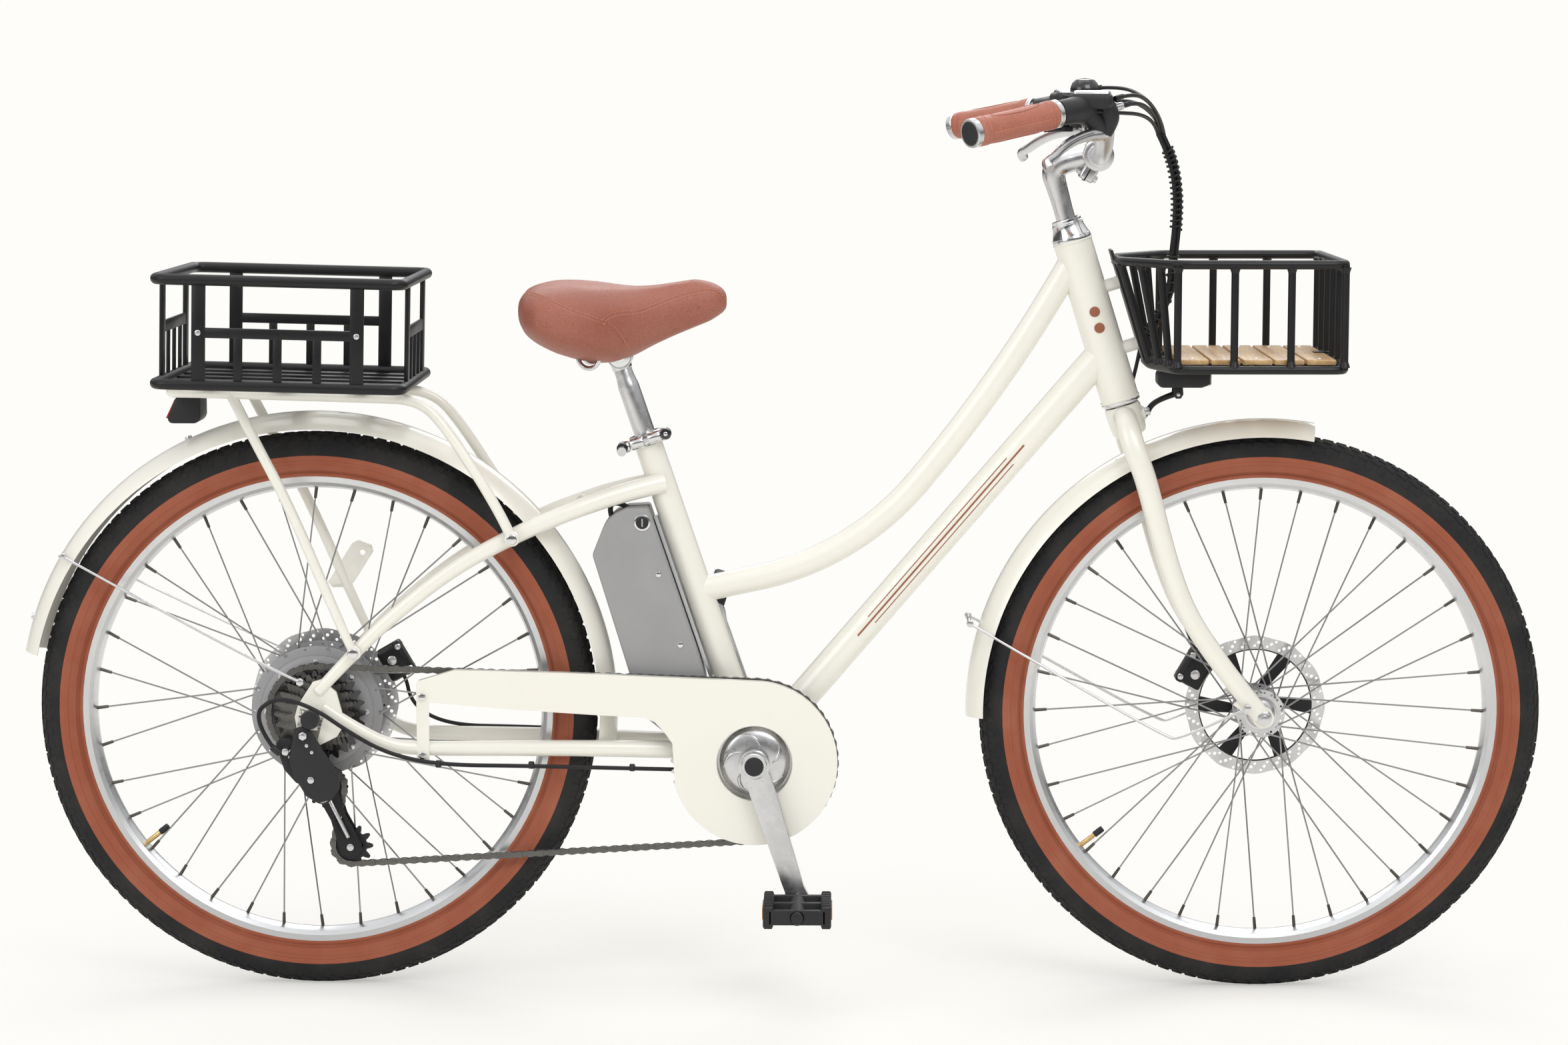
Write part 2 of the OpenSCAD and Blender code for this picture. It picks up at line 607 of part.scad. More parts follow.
// Local Z is the lever's hinge axis and local X points from the lever to the grip
module at_lever() {
    along(lever_pivot, lever_pivot + lever_axis) rotate([0, 0, 162]) children();
}
module control_housings() placed("#1c1c1e") both_sides() difference() {
    union() {
        along([918, 152, 1056], [896, 196, 1059]) cylinder(r = 17, h = 48);
        translate([890, 152, 1060]) cube([46, 48, 17]);
        at_lever() translate([4, -9, -9]) cube([20, 18, 28]);
        at_lever() for (z = [-9, 5]) translate([-8, -8, z]) cube([16, 16, 4]);
        at_lever() translate([0, 0, -9]) cylinder(r = 2.5, h = 18);
    }
    bent(smooth(bar_route), [bar_r, bar_r], [bar_r, bar_r], side = [0, 0, 1], sides = 16);
    at_lever() difference() {
        translate([0, 0, -4.6]) cylinder(r = 13, h = 9.2);
        translate([0, 0, -6]) cylinder(r = 2.5, h = 12);
    }
}
// The lever's line: how far along it, and how far towards the grip
lever = [for (q = [[0, 0], [30, 7], [62, 8], [100, 3], [132, -3], [145, -12]])
    lever_pivot + q.x * lever_dir + q.y * lever_pull];
module lever_shape() difference() {
    union() {
        at_lever() translate([0, 0, -4.2]) cylinder(r = 8, h = 8.4);
        bent(smooth(lever), [4, 4], [6, 4], side = lever_axis);
    }
    at_lever() translate([0, 0, -8]) cylinder(r = 2.5 + running, h = 16);
}
module brake_lever_left() placed("silver") lever_shape();
module brake_lever_right() placed("silver") mirror([0, 1, 0]) lever_shape();
module shift_lever() placed("#1c1c1e") translate([884, -186, 1032.7]) {
    cylinder(r = 8, h = 6);
    translate([-28, -12, 0.8]) cube([22, 10, 4]);
}

bell_at = [908, -140, 1077];
module bell() placed("#202022") translate(bell_at) {
    translate([-10, -10, -24]) cube([20, 14, 22]);
    intersection() { sphere(16); translate([-20, -20, 0]) cube([40, 40, 20]); }
    translate([0, 0, -3]) cylinder(r = 4, h = 5);
}
module bell_striker() placed("#202022") translate(bell_at) {
    translate([-6, 11, -9]) cylinder(r = 3, h = 5);
    translate([-26, 9, -9]) cube([19, 4, 5]);
}

// One bundle of cables from each end of the bar, down to the foot of the basket
bundle = [[1003, -40, 1026], [1018, -30, 1000], [1026, -22, 960], [1026, -16, 920],
    [1022, -12, 880], [1021, -10, 845], [1006, -9, 810], [993, -9, 791]];
feed_right = [[938, -172, 1064], [960, -150, 1072], [985, -90, 1060], [1001, -42, 1034]];
feed_left = [[938, 172, 1064], [965, 130, 1074], [992, 40, 1062], [1006, -30, 1036]];
module control_cables() placed("#131314") {
    bent(smooth(bundle), [6, 6], [6, 6], sides = 8);
    bent(smooth(feed_right), [4, 4], [4, 4], side = [0, 0, 1], sides = 8);
    bent(smooth(feed_left), [4, 4], [4, 4], side = [0, 0, 1], sides = 8);
}

// ---- seat ----
module seat_clamp() placed("silver") difference() {
    union() {
        on_seat() translate([0, 0, seat_len - 2]) cylinder(r = 20.5, h = 14);
        on_seat() translate([-18, -26, seat_len]) cube([36, 12, 10]);
    }
    on_seat() translate([0, 0, seat_len - 40]) cylinder(r = 16.8, h = 40);
    on_seat() translate([0, 0, 100]) cylinder(r = post_r + running, h = 400);
    on_seat() translate([-30, -21, seat_len + 5]) rotate([0, 90, 0])
        cylinder(r = 2.56, h = 60);
}
module seat_clamp_lever() placed("#1c1c1e") on_seat() translate([-24, -21, seat_len + 5]) {
    rotate([0, 90, 0]) cylinder(r = 2.5, h = 48);
    translate([-8, -5, -5]) cube([11, 10, 10]);
    translate([-9, -40, -5]) cube([7, 36, 10]);
    translate([45, 0, 0]) rotate([0, 90, 0]) cylinder(r = 6, h = 6);
}
module seatpost() placed("silver") {
    on_seat() translate([0, 0, 220]) cylinder(r = post_r, h = 270);
    on_seat() translate([0, 0, 489]) cylinder(r = 10.5, h = 20);
    translate([366, 0, 762]) across(15, -26, 26);
    both_sides() wire([[300, 40, 782], [330, 24, 764], [400, 24, 764], [440, 14, 792]], 3.5);
}
// Half width, top and bottom of the saddle along its length
saddle_rows = [[252, 46, 838, 800], [264, 84, 847, 784], [285, 103, 851, 774],
    [315, 106, 850, 770], [345, 96, 847, 768], [375, 74, 844, 772], [405, 52, 844, 780],
    [435, 38, 847, 790], [465, 31, 848, 803], [484, 25, 843, 812], [492, 12, 834, 818]];
module saddle() placed(tan_brown) {
    lift = saddle_top - 848;
    sides = 16;
    n = len(saddle_rows);
    points = [for (row = saddle_rows) for (k = [0 : sides - 1])
        let (a = 360 * k / sides, mid = (row[2] + row[3]) / 2, half = (row[2] - row[3]) / 2)
        [row[0], row[1] * cos(a), mid + half * sin(a) + lift]];
    walls = [for (i = [0 : n - 2]) for (k = [0 : sides - 1])
        let (a = i * sides + k, b = i * sides + (k + 1) % sides) [a, a + sides, b + sides, b]];
    ends = [[for (k = [0 : sides - 1]) k], [for (k = [sides - 1 : -1 : 0]) (n - 1) * sides + k]];
    polyhedron(points, concat(walls, ends), convexity = 4);
}

head_tube();
headset();
down_tube();
top_tube();
seat_tube();
seat_stays();
chain_stays();
frame_hardware();
rear_rack();
rear_crate();
tail_light();
rear_mudguard();
chain_guard();
battery_rail();
basket_frame();
basket_deck();
rear_caliper();
frame_cables();
derailleur_body();
chain();
seat_clamp();
derailleur_cage();
upper_pulley();
lower_pulley();
fork();
front_mudguard();
fork_hardware();
front_caliper();
stem();
handlebar();
grips();
control_housings();
bell();
control_cables();
headlight();
front_tyre();
front_rim();
front_spokes();
front_hub();
front_rotor();
rear_tyre();
rear_rim();
rear_spokes();
motor_hub();
rear_rotor();
sprockets();
crank_right();
crank_left();
chainring();
pedal_right();
pedal_left();
brake_lever_right();
brake_lever_left();
shift_lever();
bell_striker();
seatpost();
saddle();
seat_clamp_lever();
battery();
battery_lock();
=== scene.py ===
"""The looks of a step-through electric city bicycle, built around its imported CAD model."""
import math
from math import cos, pi, radians, sin

import bmesh
import bpy
from mathutils import Matrix, Vector
from mathutils.bvhtree import BVHTree


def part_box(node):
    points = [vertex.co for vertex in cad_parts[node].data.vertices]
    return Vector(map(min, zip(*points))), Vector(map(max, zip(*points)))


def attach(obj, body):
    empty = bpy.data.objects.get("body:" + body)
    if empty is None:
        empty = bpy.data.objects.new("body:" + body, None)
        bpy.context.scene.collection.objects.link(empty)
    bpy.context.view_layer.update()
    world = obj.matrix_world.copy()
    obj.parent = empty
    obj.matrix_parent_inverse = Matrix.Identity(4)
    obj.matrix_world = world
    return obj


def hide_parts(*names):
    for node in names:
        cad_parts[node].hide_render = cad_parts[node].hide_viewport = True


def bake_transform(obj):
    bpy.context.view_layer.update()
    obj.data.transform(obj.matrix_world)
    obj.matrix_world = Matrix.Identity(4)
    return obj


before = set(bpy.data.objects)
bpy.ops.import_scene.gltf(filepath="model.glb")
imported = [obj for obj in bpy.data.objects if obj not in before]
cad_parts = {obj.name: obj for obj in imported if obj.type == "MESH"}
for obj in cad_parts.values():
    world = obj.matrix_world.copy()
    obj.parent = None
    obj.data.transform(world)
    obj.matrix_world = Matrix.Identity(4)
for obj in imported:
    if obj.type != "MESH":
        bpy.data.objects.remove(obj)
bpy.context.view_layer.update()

MM = 0.001
rear_low, rear_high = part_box("rear_tyre")
front_low, front_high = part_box("front_tyre")
REAR_AXLE = (rear_low + rear_high) / 2
WHEELBASE = (front_low.x - rear_low.x) / MM
TYRE_R = (rear_high.x - rear_low.x) / 2 / MM
X_AXIS, Y_AXIS, Z_AXIS = Vector((1, 0, 0)), Vector((0, 1, 0)), Vector((0, 0, 1))


def at(x, y, z):
    """A place in metres, given in millimetres from the rear axle and above the ground."""
    return Vector((REAR_AXLE.x + x * MM, y * MM, z * MM))


# ---- places that the pieces share, in millimetres ----
HEAD_FOOT, HEAD_TILT, HEAD_LENGTH = Vector((963, 0, 711)), radians(17.2), 200
CRANK_AXLE, SEAT_TILT, SEAT_LENGTH = Vector((527, 0, 281)), radians(18.75), 400
CRANK_LENGTH, CRANK_TURN = 170, radians(17.8)
CLAMP = Vector((933, 0, 1002))
GRIP_IN, GRIP_OUT = Vector((870, 222, 1053)), Vector((771, 300, 1032))
LEVER_PIVOT, LEVER_TIP = Vector((927, 168, 1030)), Vector((852, 286, 1002))
HEAD_UP = Vector((-sin(HEAD_TILT), 0, cos(HEAD_TILT)))
HEAD_FORWARD = Vector((cos(HEAD_TILT), 0, sin(HEAD_TILT)))
SEAT_UP = Vector((-sin(SEAT_TILT), 0, cos(SEAT_TILT)))
SEAT_FORWARD = Vector((cos(SEAT_TILT), 0, sin(SEAT_TILT)))
RING_Y, COG_Y, PITCH = -45, -36, 12.7
RING_TEETH, COG_TEETH, PULLEY_TEETH = 48, 28, 11
UPPER_PULLEY, LOWER_PULLEY = Vector((12, 0, 247)), Vector((41, 0, 175))
LIGHT_PIVOT = Vector((1031, 0, 719))
PEDAL_AT = CRANK_AXLE + CRANK_LENGTH * Vector((sin(CRANK_TURN), 0, -cos(CRANK_TURN)))
LEFT_PEDAL_AT = 2 * CRANK_AXLE - PEDAL_AT


def on_head(forward, side, up):
    return HEAD_FOOT + forward * HEAD_FORWARD + side * Y_AXIS + up * HEAD_UP


def on_seat(forward, side, up):
    return CRANK_AXLE + forward * SEAT_FORWARD + side * Y_AXIS + up * SEAT_UP


def object_of(name, data):
    """A new object in the scene that carries this data."""
    made = bpy.data.objects.new(name, data)
    bpy.context.scene.collection.objects.link(made)
    return made


# ---- camera, floor and lights ----
BACKDROP = (0.992, 0.984, 0.953, 1)
FLOOR_SPREAD, LIT_RADIUS, FADED_RADIUS, NEAR_FADE = (0.62, 1.0, 0), 0.15, 0.95, 0.35
MIRRORED_BANDS = [(0.0, 0.75), (0.40, 0.62), (0.47, 0.07), (0.57, 0.10), (0.64, 0.55), (0.80, 1.0)]


def set_camera():
    data = bpy.data.cameras.new("camera")
    data.lens, data.sensor_width = 86.7, 36
    data.clip_end = 60
    camera = object_of("camera", data)
    camera.location = (0.0655, -4.5, 1.0941)
    camera.rotation_euler = (radians(90) - 0.1174, 0, 0.0138)
    bpy.context.scene.camera = camera


def add_node(tree, kind, settings=None, sockets=None):
    """A node with its settings, and with each socket set to a value or linked to an output."""
    made = tree.nodes.new("ShaderNode" + kind)
    for key, value in (settings or {}).items():
        setattr(made, key, value)
    for key, value in (sockets or {}).items():
        if isinstance(value, bpy.types.NodeSocket):
            tree.links.new(value, made.inputs[key])
        else:
            made.inputs[key].default_value = value
    return made


def set_floor():
    """A pale floor, lit near the wheels and fading into the backdrop further away."""
    bpy.ops.mesh.primitive_plane_add(size=40, location=(0, 0, 0))
    floor = bpy.context.object
    floor.name = "floor"
    material = bpy.data.materials.new("floor")
    material.use_nodes = True
    tree = material.node_tree
    shader = tree.nodes["Principled BSDF"]
    shader.inputs["Base Color"].default_value = (0.95, 0.94, 0.91, 1)
    shader.inputs["Roughness"].default_value = 0.9
    shader.inputs["Specular IOR Level"].default_value = 0.1
    glow = add_node(tree, "Emission", None, {"Color": BACKDROP})
    spot = add_node(tree, "NewGeometry")
    scaled = add_node(tree, "VectorMath", {"operation": "MULTIPLY"}, {0: spot.outputs["Position"],
        1: FLOOR_SPREAD})
    length = add_node(tree, "VectorMath", {"operation": "LENGTH"}, {0: scaled.outputs[0]})
    fade = add_node(tree, "MapRange", {"interpolation_type": "SMOOTHSTEP"},
        {"Value": length.outputs["Value"], "From Min": LIT_RADIUS, "From Max": FADED_RADIUS,
        "To Min": NEAR_FADE})
    path = add_node(tree, "LightPath")
    both = add_node(tree, "Math", {"operation": "MULTIPLY"}, {0: fade.outputs["Result"],
        1: path.outputs["Is Camera Ray"]})
    mixed = add_node(tree, "MixShader", None, {0: both.outputs[0], 1: shader.outputs[0],
        2: glow.outputs[0]})
    tree.links.new(mixed.outputs[0], tree.nodes["Material Output"].inputs["Surface"])
    floor.data.materials.append(material)


def set_light(name, place, aim, size, power):
    data = bpy.data.lights.new(name, "AREA")
    data.shape, data.size, data.size_y, data.energy = "RECTANGLE", size[0], size[1], power
    lamp = object_of(name, data)
    lamp.location = place
    lamp.rotation_euler = (Vector(aim) - Vector(place)).to_track_quat("-Z", "Y").to_euler()


def set_studio():
    """Soft light from the world, its banded reflections, the backdrop and four lamps."""
    world = bpy.data.worlds.new("studio")
    world.use_nodes = True
    tree = world.node_tree
    light = tree.nodes["Background"]
    light.inputs["Color"].default_value = (1.0, 0.99, 0.97, 1)
    light.inputs["Strength"].default_value = 0.62
    seen = add_node(tree, "Background", None, {"Color": BACKDROP})
    coords = add_node(tree, "TexCoord")
    parts = add_node(tree, "SeparateXYZ", None, {0: coords.outputs["Generated"]})
    height = add_node(tree, "MapRange", None, {"Value": parts.outputs["Z"], "From Min": -1})
    bands = add_node(tree, "ValToRGB", None, {"Fac": height.outputs["Result"]})
    ramp = bands.color_ramp
    while len(ramp.elements) < len(MIRRORED_BANDS):
        ramp.elements.new(0.5)
    for element, (place, value) in zip(ramp.elements, MIRRORED_BANDS):
        element.position, element.color = place, (value, value, value, 1)
    mirrored = add_node(tree, "Background", None, {"Color": bands.outputs["Color"]})
    path = add_node(tree, "LightPath")
    first = add_node(tree, "MixShader", None, {0: path.outputs["Is Glossy Ray"],
        1: light.outputs[0], 2: mirrored.outputs[0]})
    second = add_node(tree, "MixShader", None, {0: path.outputs["Is Camera Ray"],
        1: first.outputs[0], 2: seen.outputs[0]})
    tree.links.new(second.outputs[0], tree.nodes["World Output"].inputs["Surface"])
    bpy.context.scene.world = world
    set_light("key", (1.6, -3.4, 3.4), (0, 0, 0.5), (2.6, 2.0), 62)
    set_light("fill", (-2.8, -2.6, 2.0), (0, 0, 0.5), (2.2, 2.0), 30)
    set_light("rim", (0.4, 3.2, 2.8), (0, 0, 0.6), (3.0, 1.4), 40)
    set_light("overhead", (0, 0, 3.6), (0, 0, 0.4), (3.2, 2.0), 26)
    bpy.context.scene.view_settings.view_transform = "Standard"


set_camera()
set_floor()
set_studio()


# ---- materials ----
class Number:
    """A socket of a material that carries a number, with arithmetic that adds Math nodes."""

    def __init__(self, finish, socket):
        self.finish, self.socket = finish, socket

    def does(self, operation, first, *rest):
        values = dict(enumerate((first, *rest)))
        return self.finish.node("ShaderNodeMath", {"operation": operation}, values)

    def __add__(self, other):
        return self.does("ADD", self, other)

    def __radd__(self, other):
        return self.does("ADD", other, self)

    def __sub__(self, other):
        return self.does("SUBTRACT", self, other)

    def __rsub__(self, other):
        return self.does("SUBTRACT", other, self)

    def __mul__(self, other):
        return self.does("MULTIPLY", self, other)

    def __rmul__(self, other):
        return self.does("MULTIPLY", other, self)


class Finish:
    """A material under construction: one Principled shader and the nodes that feed it."""

    def __init__(self, name, color, roughness, metallic=0.0, **sockets):
        self.material = bpy.data.materials.new(name)
        self.material.use_nodes = True
        self.tree = self.material.node_tree
        self.shader = self.tree.nodes["Principled BSDF"]
        self.set("Base Color", color)
        self.set("Roughness", roughness)
        self.set("Metallic", metallic)
        for socket, value in sockets.items():
            self.set(socket.replace("_", " ").title().replace("Ior", "IOR"), value)

    def set(self, socket, value):
        self.plug(self.shader.inputs[socket], value)

    def plug(self, socket, value):
        if isinstance(value, Number):
            self.tree.links.new(value.socket, socket)
        elif hasattr(value, "__len__") and len(value) == 3 and socket.type == "RGBA":
            socket.default_value = (*value, 1)
        else:
            socket.default_value = value

    def node(self, kind, settings=None, values=None, out=0):
        made = self.tree.nodes.new(kind)
        for key, value in (settings or {}).items():
            if key == "stops":
                ramp = made.color_ramp
                while len(ramp.elements) < len(value):
                    ramp.elements.new(0.5)
                for element, (place, color) in zip(ramp.elements, value):
                    element.position = place
                    element.color = (*color, 1)
            else:
                setattr(made, key, value)
        for socket, value in (values or {}).items():
            self.plug(made.inputs[socket], value)
        return Number(self, made.outputs[out])

    def place(self, scale=(1, 1, 1), location=(0, 0, 0)):
        """Object coordinates, moved and then stretched."""
        raw = self.node("ShaderNodeTexCoord", out="Object")
        return self.node("ShaderNodeMapping", None, {"Vector": raw, "Scale": scale,
            "Location": location})

    def noise(self, scale, detail=3.0, place=None, out="Fac"):
        where = place or self.place()
        return self.node("ShaderNodeTexNoise", None, {"Vector": where, "Scale": scale,
            "Detail": detail}, out)

    def ramp(self, factor, low, high, from_place=0.3, to_place=0.7):
        return self.node("ShaderNodeValToRGB", {"stops": [(from_place, low), (to_place, high)]},
            {"Fac": factor}, "Color")

    def grey(self, factor, low, high, start=0.3, stop=0.7):
        """The factor mapped from start..stop to low..high."""
        return self.node("ShaderNodeMapRange", None, {"Value": factor, "From Min": start,
            "From Max": stop, "To Min": low, "To Max": high}, "Result")

    def mix(self, factor, a, b):
        made = self.tree.nodes.new("ShaderNodeMix")
        made.data_type = "RGBA"
        self.plug(made.inputs["Factor"], factor)
        self.plug(made.inputs[6], a)
        self.plug(made.inputs[7], b)
        return Number(self, made.outputs[2])

    def bump(self, height, strength, distance=0.0005):
        self.set("Normal", self.node("ShaderNodeBump", None,
            {"Height": height, "Strength": strength, "Distance": distance}, "Normal"))


def painted(name, color, dark, roughness, coat):
    """Sprayed and baked paint: a faint orange peel, and dust that dulls it in patches."""
    finish = Finish(name, color, roughness, coat_weight=coat, coat_roughness=0.12)
    dust = finish.noise(7, 5)
    finish.set("Base Color", finish.ramp(dust, color, dark, 0.45, 0.85))
    finish.set("Roughness", finish.grey(finish.noise(40, 4), roughness - 0.02, roughness + 0.04))
    finish.bump(finish.noise(160, 1), 0.012, 0.0002)
    return finish.material


def metal(name, color, roughness, grain, stretch=(1, 1, 1), spread=0.1, strength=0.12):
    """Bare metal with a fine grain, brushed along the direction that stretch leaves long."""
    finish = Finish(name, color, roughness, 1.0)
    lines = finish.noise(grain, 4, finish.place(stretch))
    patches = finish.noise(18, 4)
    rough = finish.grey(lines * 0.6 + patches * 0.4, roughness - spread / 2, roughness + spread)
    darker = tuple(0.94 * c for c in color)
    finish.set("Base Color", finish.ramp(patches, color, darker, 0.35, 0.8))
    finish.set("Roughness", rough)
    finish.bump(lines, strength, 0.0002)
    return finish.material


def moulded(name, color, roughness, grain=1400, strength=0.25):
    """Moulded plastic or rubber: a fine spark-eroded grain and a slightly uneven gloss."""
    finish = Finish(name, color, roughness)
    finish.set("Specular IOR Level", 0.3)
    fine = finish.node("ShaderNodeTexVoronoi", None, {"Vector": finish.place(), "Scale": grain},
        "Distance")
    cloud = finish.noise(22, 5)
    lighter = tuple(min(1, 1.08 * c + 0.003) for c in color)
    finish.set("Base Color", finish.ramp(cloud, color, lighter, 0.35, 0.8))
    finish.set("Roughness", finish.grey(cloud, roughness - 0.08, roughness + 0.1))
    finish.bump(fine, strength, 0.0002)
    return finish.material


def leather(name, color, dark, pale, grain, strength):
    """Grained leather cloth: pebbles of two sizes, darker valleys, paler worn rises."""
    finish = Finish(name, color, 0.5, coat_weight=0.08, coat_roughness=0.35)
    big = finish.node("ShaderNodeTexVoronoi", {"feature": "DISTANCE_TO_EDGE"},
        {"Vector": finish.place(), "Scale": grain}, "Distance")
    small = finish.node("ShaderNodeTexVoronoi", None, {"Vector": finish.place(),
        "Scale": grain * 2.3}, "Distance")
    cloud = finish.noise(14, 6)
    tone = finish.ramp(cloud, color, pale, 0.35, 0.75)
    valley = finish.grey(big, 0.75, 0.0, 0.0, 0.12)
    finish.set("Base Color", finish.mix(valley, tone, dark))
    finish.set("Roughness", finish.grey(cloud, 0.42, 0.6))
    finish.bump(finish.grey(big, 0, 1, 0, 0.25) - small * 0.25, strength, 0.0004)
    return finish.material


def bamboo(name):
    """Lacquered bamboo boards: long fibres along Y, bands of tone between the strips."""
    finish = Finish(name, (0.62, 0.40, 0.17), 0.35, coat_weight=0.4, coat_roughness=0.2)
    fibres = finish.noise(60, 6, finish.place((9, 0.5, 9)))
    strips = finish.noise(22, 1, finish.place((3.0, 0.05, 3.0)))
    tone = finish.ramp(strips, (0.50, 0.29, 0.11), (0.70, 0.47, 0.22), 0.35, 0.65)
    finish.set("Base Color", finish.mix(finish.grey(fibres, 0, 0.6, 0.45, 0.75), tone,
        (0.33, 0.17, 0.06)))
    finish.set("Roughness", finish.grey(fibres, 0.3, 0.5))
    finish.bump(fibres, 0.25, 0.0004)
    return finish.material


def tyre_rubber(name, color, pale):
    """Matt tyre rubber, with dust in the hollows and fine moulded ribs."""
    finish = Finish(name, color, 0.78)
    finish.set("Specular IOR Level", 0.25)
    cloud = finish.noise(24, 6)
    finish.set("Base Color", finish.ramp(cloud, color, pale, 0.4, 0.85))
    finish.set("Roughness", finish.grey(cloud, 0.7, 0.88))
    finish.bump(finish.noise(700, 3), 0.2, 0.0003)
    return finish.material


def lens(name, color, roughness, transmission):
    """Clear or tinted plastic with a moulded prism pattern."""
    finish = Finish(name, color, roughness, ior=1.49)
    finish.shader.inputs["Transmission Weight"].default_value = transmission
    prisms = finish.node("ShaderNodeTexVoronoi", {"distance": "MANHATTAN"},
        {"Vector": finish.place(), "Scale": 380}, "Distance")
    finish.bump(prisms, 0.6, 0.0008)
    return finish.material


IVORY = painted("ivory_paint", (0.86, 0.845, 0.77), (0.845, 0.83, 0.752), 0.3, 0.6)
BLACK_PAINT = painted("black_paint", (0.008, 0.008, 0.009), (0.012, 0.012, 0.013), 0.4, 0.1)
BLACK_PAINT.node_tree.nodes["Principled BSDF"].inputs["Specular IOR Level"].default_value = 0.3
BLACK_GLOSS = painted("black_gloss", (0.015, 0.015, 0.016), (0.02, 0.02, 0.02), 0.16, 0.5)
ALLOY = metal("polished_alloy", (0.66, 0.66, 0.67), 0.24, 90, (1, 1, 1), 0.12, 0.05)
BRUSHED = metal("brushed_alloy", (0.72, 0.73, 0.74), 0.32, 220, (1, 0.06, 1))
STEEL = metal("steel", (0.70, 0.70, 0.71), 0.26, 160, (1, 1, 0.2))
CHROME = metal("chrome", (0.74, 0.74, 0.75), 0.13, 60, (1, 1, 1), 0.06, 0.03)
CHAIN_STEEL = metal("chain_steel", (0.17, 0.165, 0.155), 0.36, 300, (1, 1, 1), 0.14)
SPOKE_STEEL = metal("spoke_steel", (0.34, 0.34, 0.345), 0.3, 200)
DARK_NIPPLE = metal("dark_nipple", (0.10, 0.09, 0.08), 0.4, 300)
BLACK_PLASTIC = moulded("black_plastic", (0.022, 0.022, 0.024), 0.48)
BLACK_RUBBER = moulded("cable_rubber", (0.013, 0.013, 0.014), 0.42, 900, 0.12)
MOTOR_GREY = painted("motor_paint", (0.33, 0.33, 0.34), (0.25, 0.25, 0.26), 0.46, 0.1)
BATTERY_GREY = moulded("battery_shell", (0.32, 0.32, 0.325), 0.42, 1600, 0.15)
TREAD_BLACK = tyre_rubber("tread_rubber", (0.016, 0.016, 0.017), (0.04, 0.038, 0.036))
TYRE_TAN = tyre_rubber("tan_rubber", (0.31, 0.088, 0.047), (0.36, 0.125, 0.075))
LEATHER = leather("tan_leather", (0.345, 0.104, 0.063), (0.19, 0.05, 0.029), (0.40, 0.142, 0.095),
    620, 0.35)
GRIP_TAN = leather("tan_grip", (0.42, 0.128, 0.08), (0.26, 0.07, 0.04), (0.52, 0.20, 0.14), 520,
    0.3)
THREAD = moulded("stitch_thread", (0.55, 0.24, 0.16), 0.7, 2400, 0.4)
BAMBOO = bamboo("bamboo")
CLEAR_LENS = lens("clear_lens", (0.9, 0.92, 0.93), 0.08, 0.75)
RED_LENS = lens("red_lens", (0.55, 0.012, 0.012), 0.12, 0.35)
AMBER_LENS = lens("amber_lens", (0.9, 0.32, 0.02), 0.15, 0.3)
BRASS = metal("brass", (0.72, 0.50, 0.22), 0.3, 200)
MARK_BROWN = moulded("mark_brown", (0.30, 0.11, 0.06), 0.5)


# ---- modelling tools ----
def clear_selection():
    bpy.ops.object.select_all(action="DESELECT")


def pick(piece):
    clear_selection()
    piece.select_set(True)
    bpy.context.view_layer.objects.active = piece


def settle(piece):
    """Puts the object's place, turn and size into its mesh."""
    pick(piece)
    bpy.ops.object.transform_apply(location=True, rotation=True, scale=True)


def smooth(piece, degrees=35):
    pick(piece)
    bpy.ops.object.shade_smooth_by_angle(angle=radians(degrees))


def apply_modifier(piece, kind, **settings):
    pick(piece)
    modifier = piece.modifiers.new(kind.lower(), kind)
    for key, value in settings.items():
        setattr(modifier, key, value)
    bpy.ops.object.modifier_apply(modifier=modifier.name)


def round_edges(piece, width, segments=2, degrees=30):
    if width:
        apply_modifier(piece, "BEVEL", width=width * MM, segments=segments, limit_method="ANGLE",
            angle_limit=radians(degrees), harden_normals=False)
    smooth(piece)


def tidy(piece, distance=0.01):
    """Merges doubles and turns all faces outwards."""
    pick(piece)
    bpy.ops.object.mode_set(mode="EDIT")
    bpy.ops.mesh.select_all(action="SELECT")
    bpy.ops.mesh.remove_doubles(threshold=distance * MM)
    bpy.ops.mesh.normals_make_consistent(inside=False)
    bpy.ops.object.mode_set(mode="OBJECT")


def dress(piece, material):
    piece.data.materials.clear()
    piece.data.materials.append(material)
    return piece


def named(name):
    """The active object under its own name."""
    return renamed(bpy.context.object, name)


def renamed(piece, name):
    piece.name = piece.data.name = name
    return piece


def block(name, low, high, material, rounding=0.8, segments=2):
    """A rounded block between two corners, in millimetres."""
    low, high = at(*low), at(*high)
    clear_selection()
    bpy.ops.mesh.primitive_cube_add(size=1, location=(low + high) / 2)
    piece = named(name)
    piece.scale = [abs(d) for d in high - low]
    settle(piece)
    round_edges(piece, rounding, segments)
    return dress(piece, material)


def rod(name, start, end, radius, material, rounding=0.4, sides=32, end_radius=None):
    """A round bar between two places, in millimetres, with its ends rounded."""
    a, b = at(*start), at(*end)
    clear_selection()
    bpy.ops.mesh.primitive_cone_add(vertices=sides, radius1=radius * MM,
        radius2=(radius if end_radius is None else end_radius) * MM, depth=(b - a).length)
    piece = named(name)
    piece.rotation_euler = (b - a).to_track_quat("Z", "Y").to_euler()
    piece.location = (a + b) / 2
    settle(piece)
    round_edges(piece, rounding)
    return dress(piece, material)


def disc(name, place, radius, y0, y1, material, rounding=0.5, sides=48):
    """A round piece whose axis runs across the bicycle."""
    x, _, z = place
    return rod(name, (x, y0, z), (x, y1, z), radius, material, rounding, sides)


def converted(name, curve):
    """A curve turned into a mesh."""
    pick(object_of(name, curve))
    bpy.ops.object.convert(target="MESH")
    return named(name)


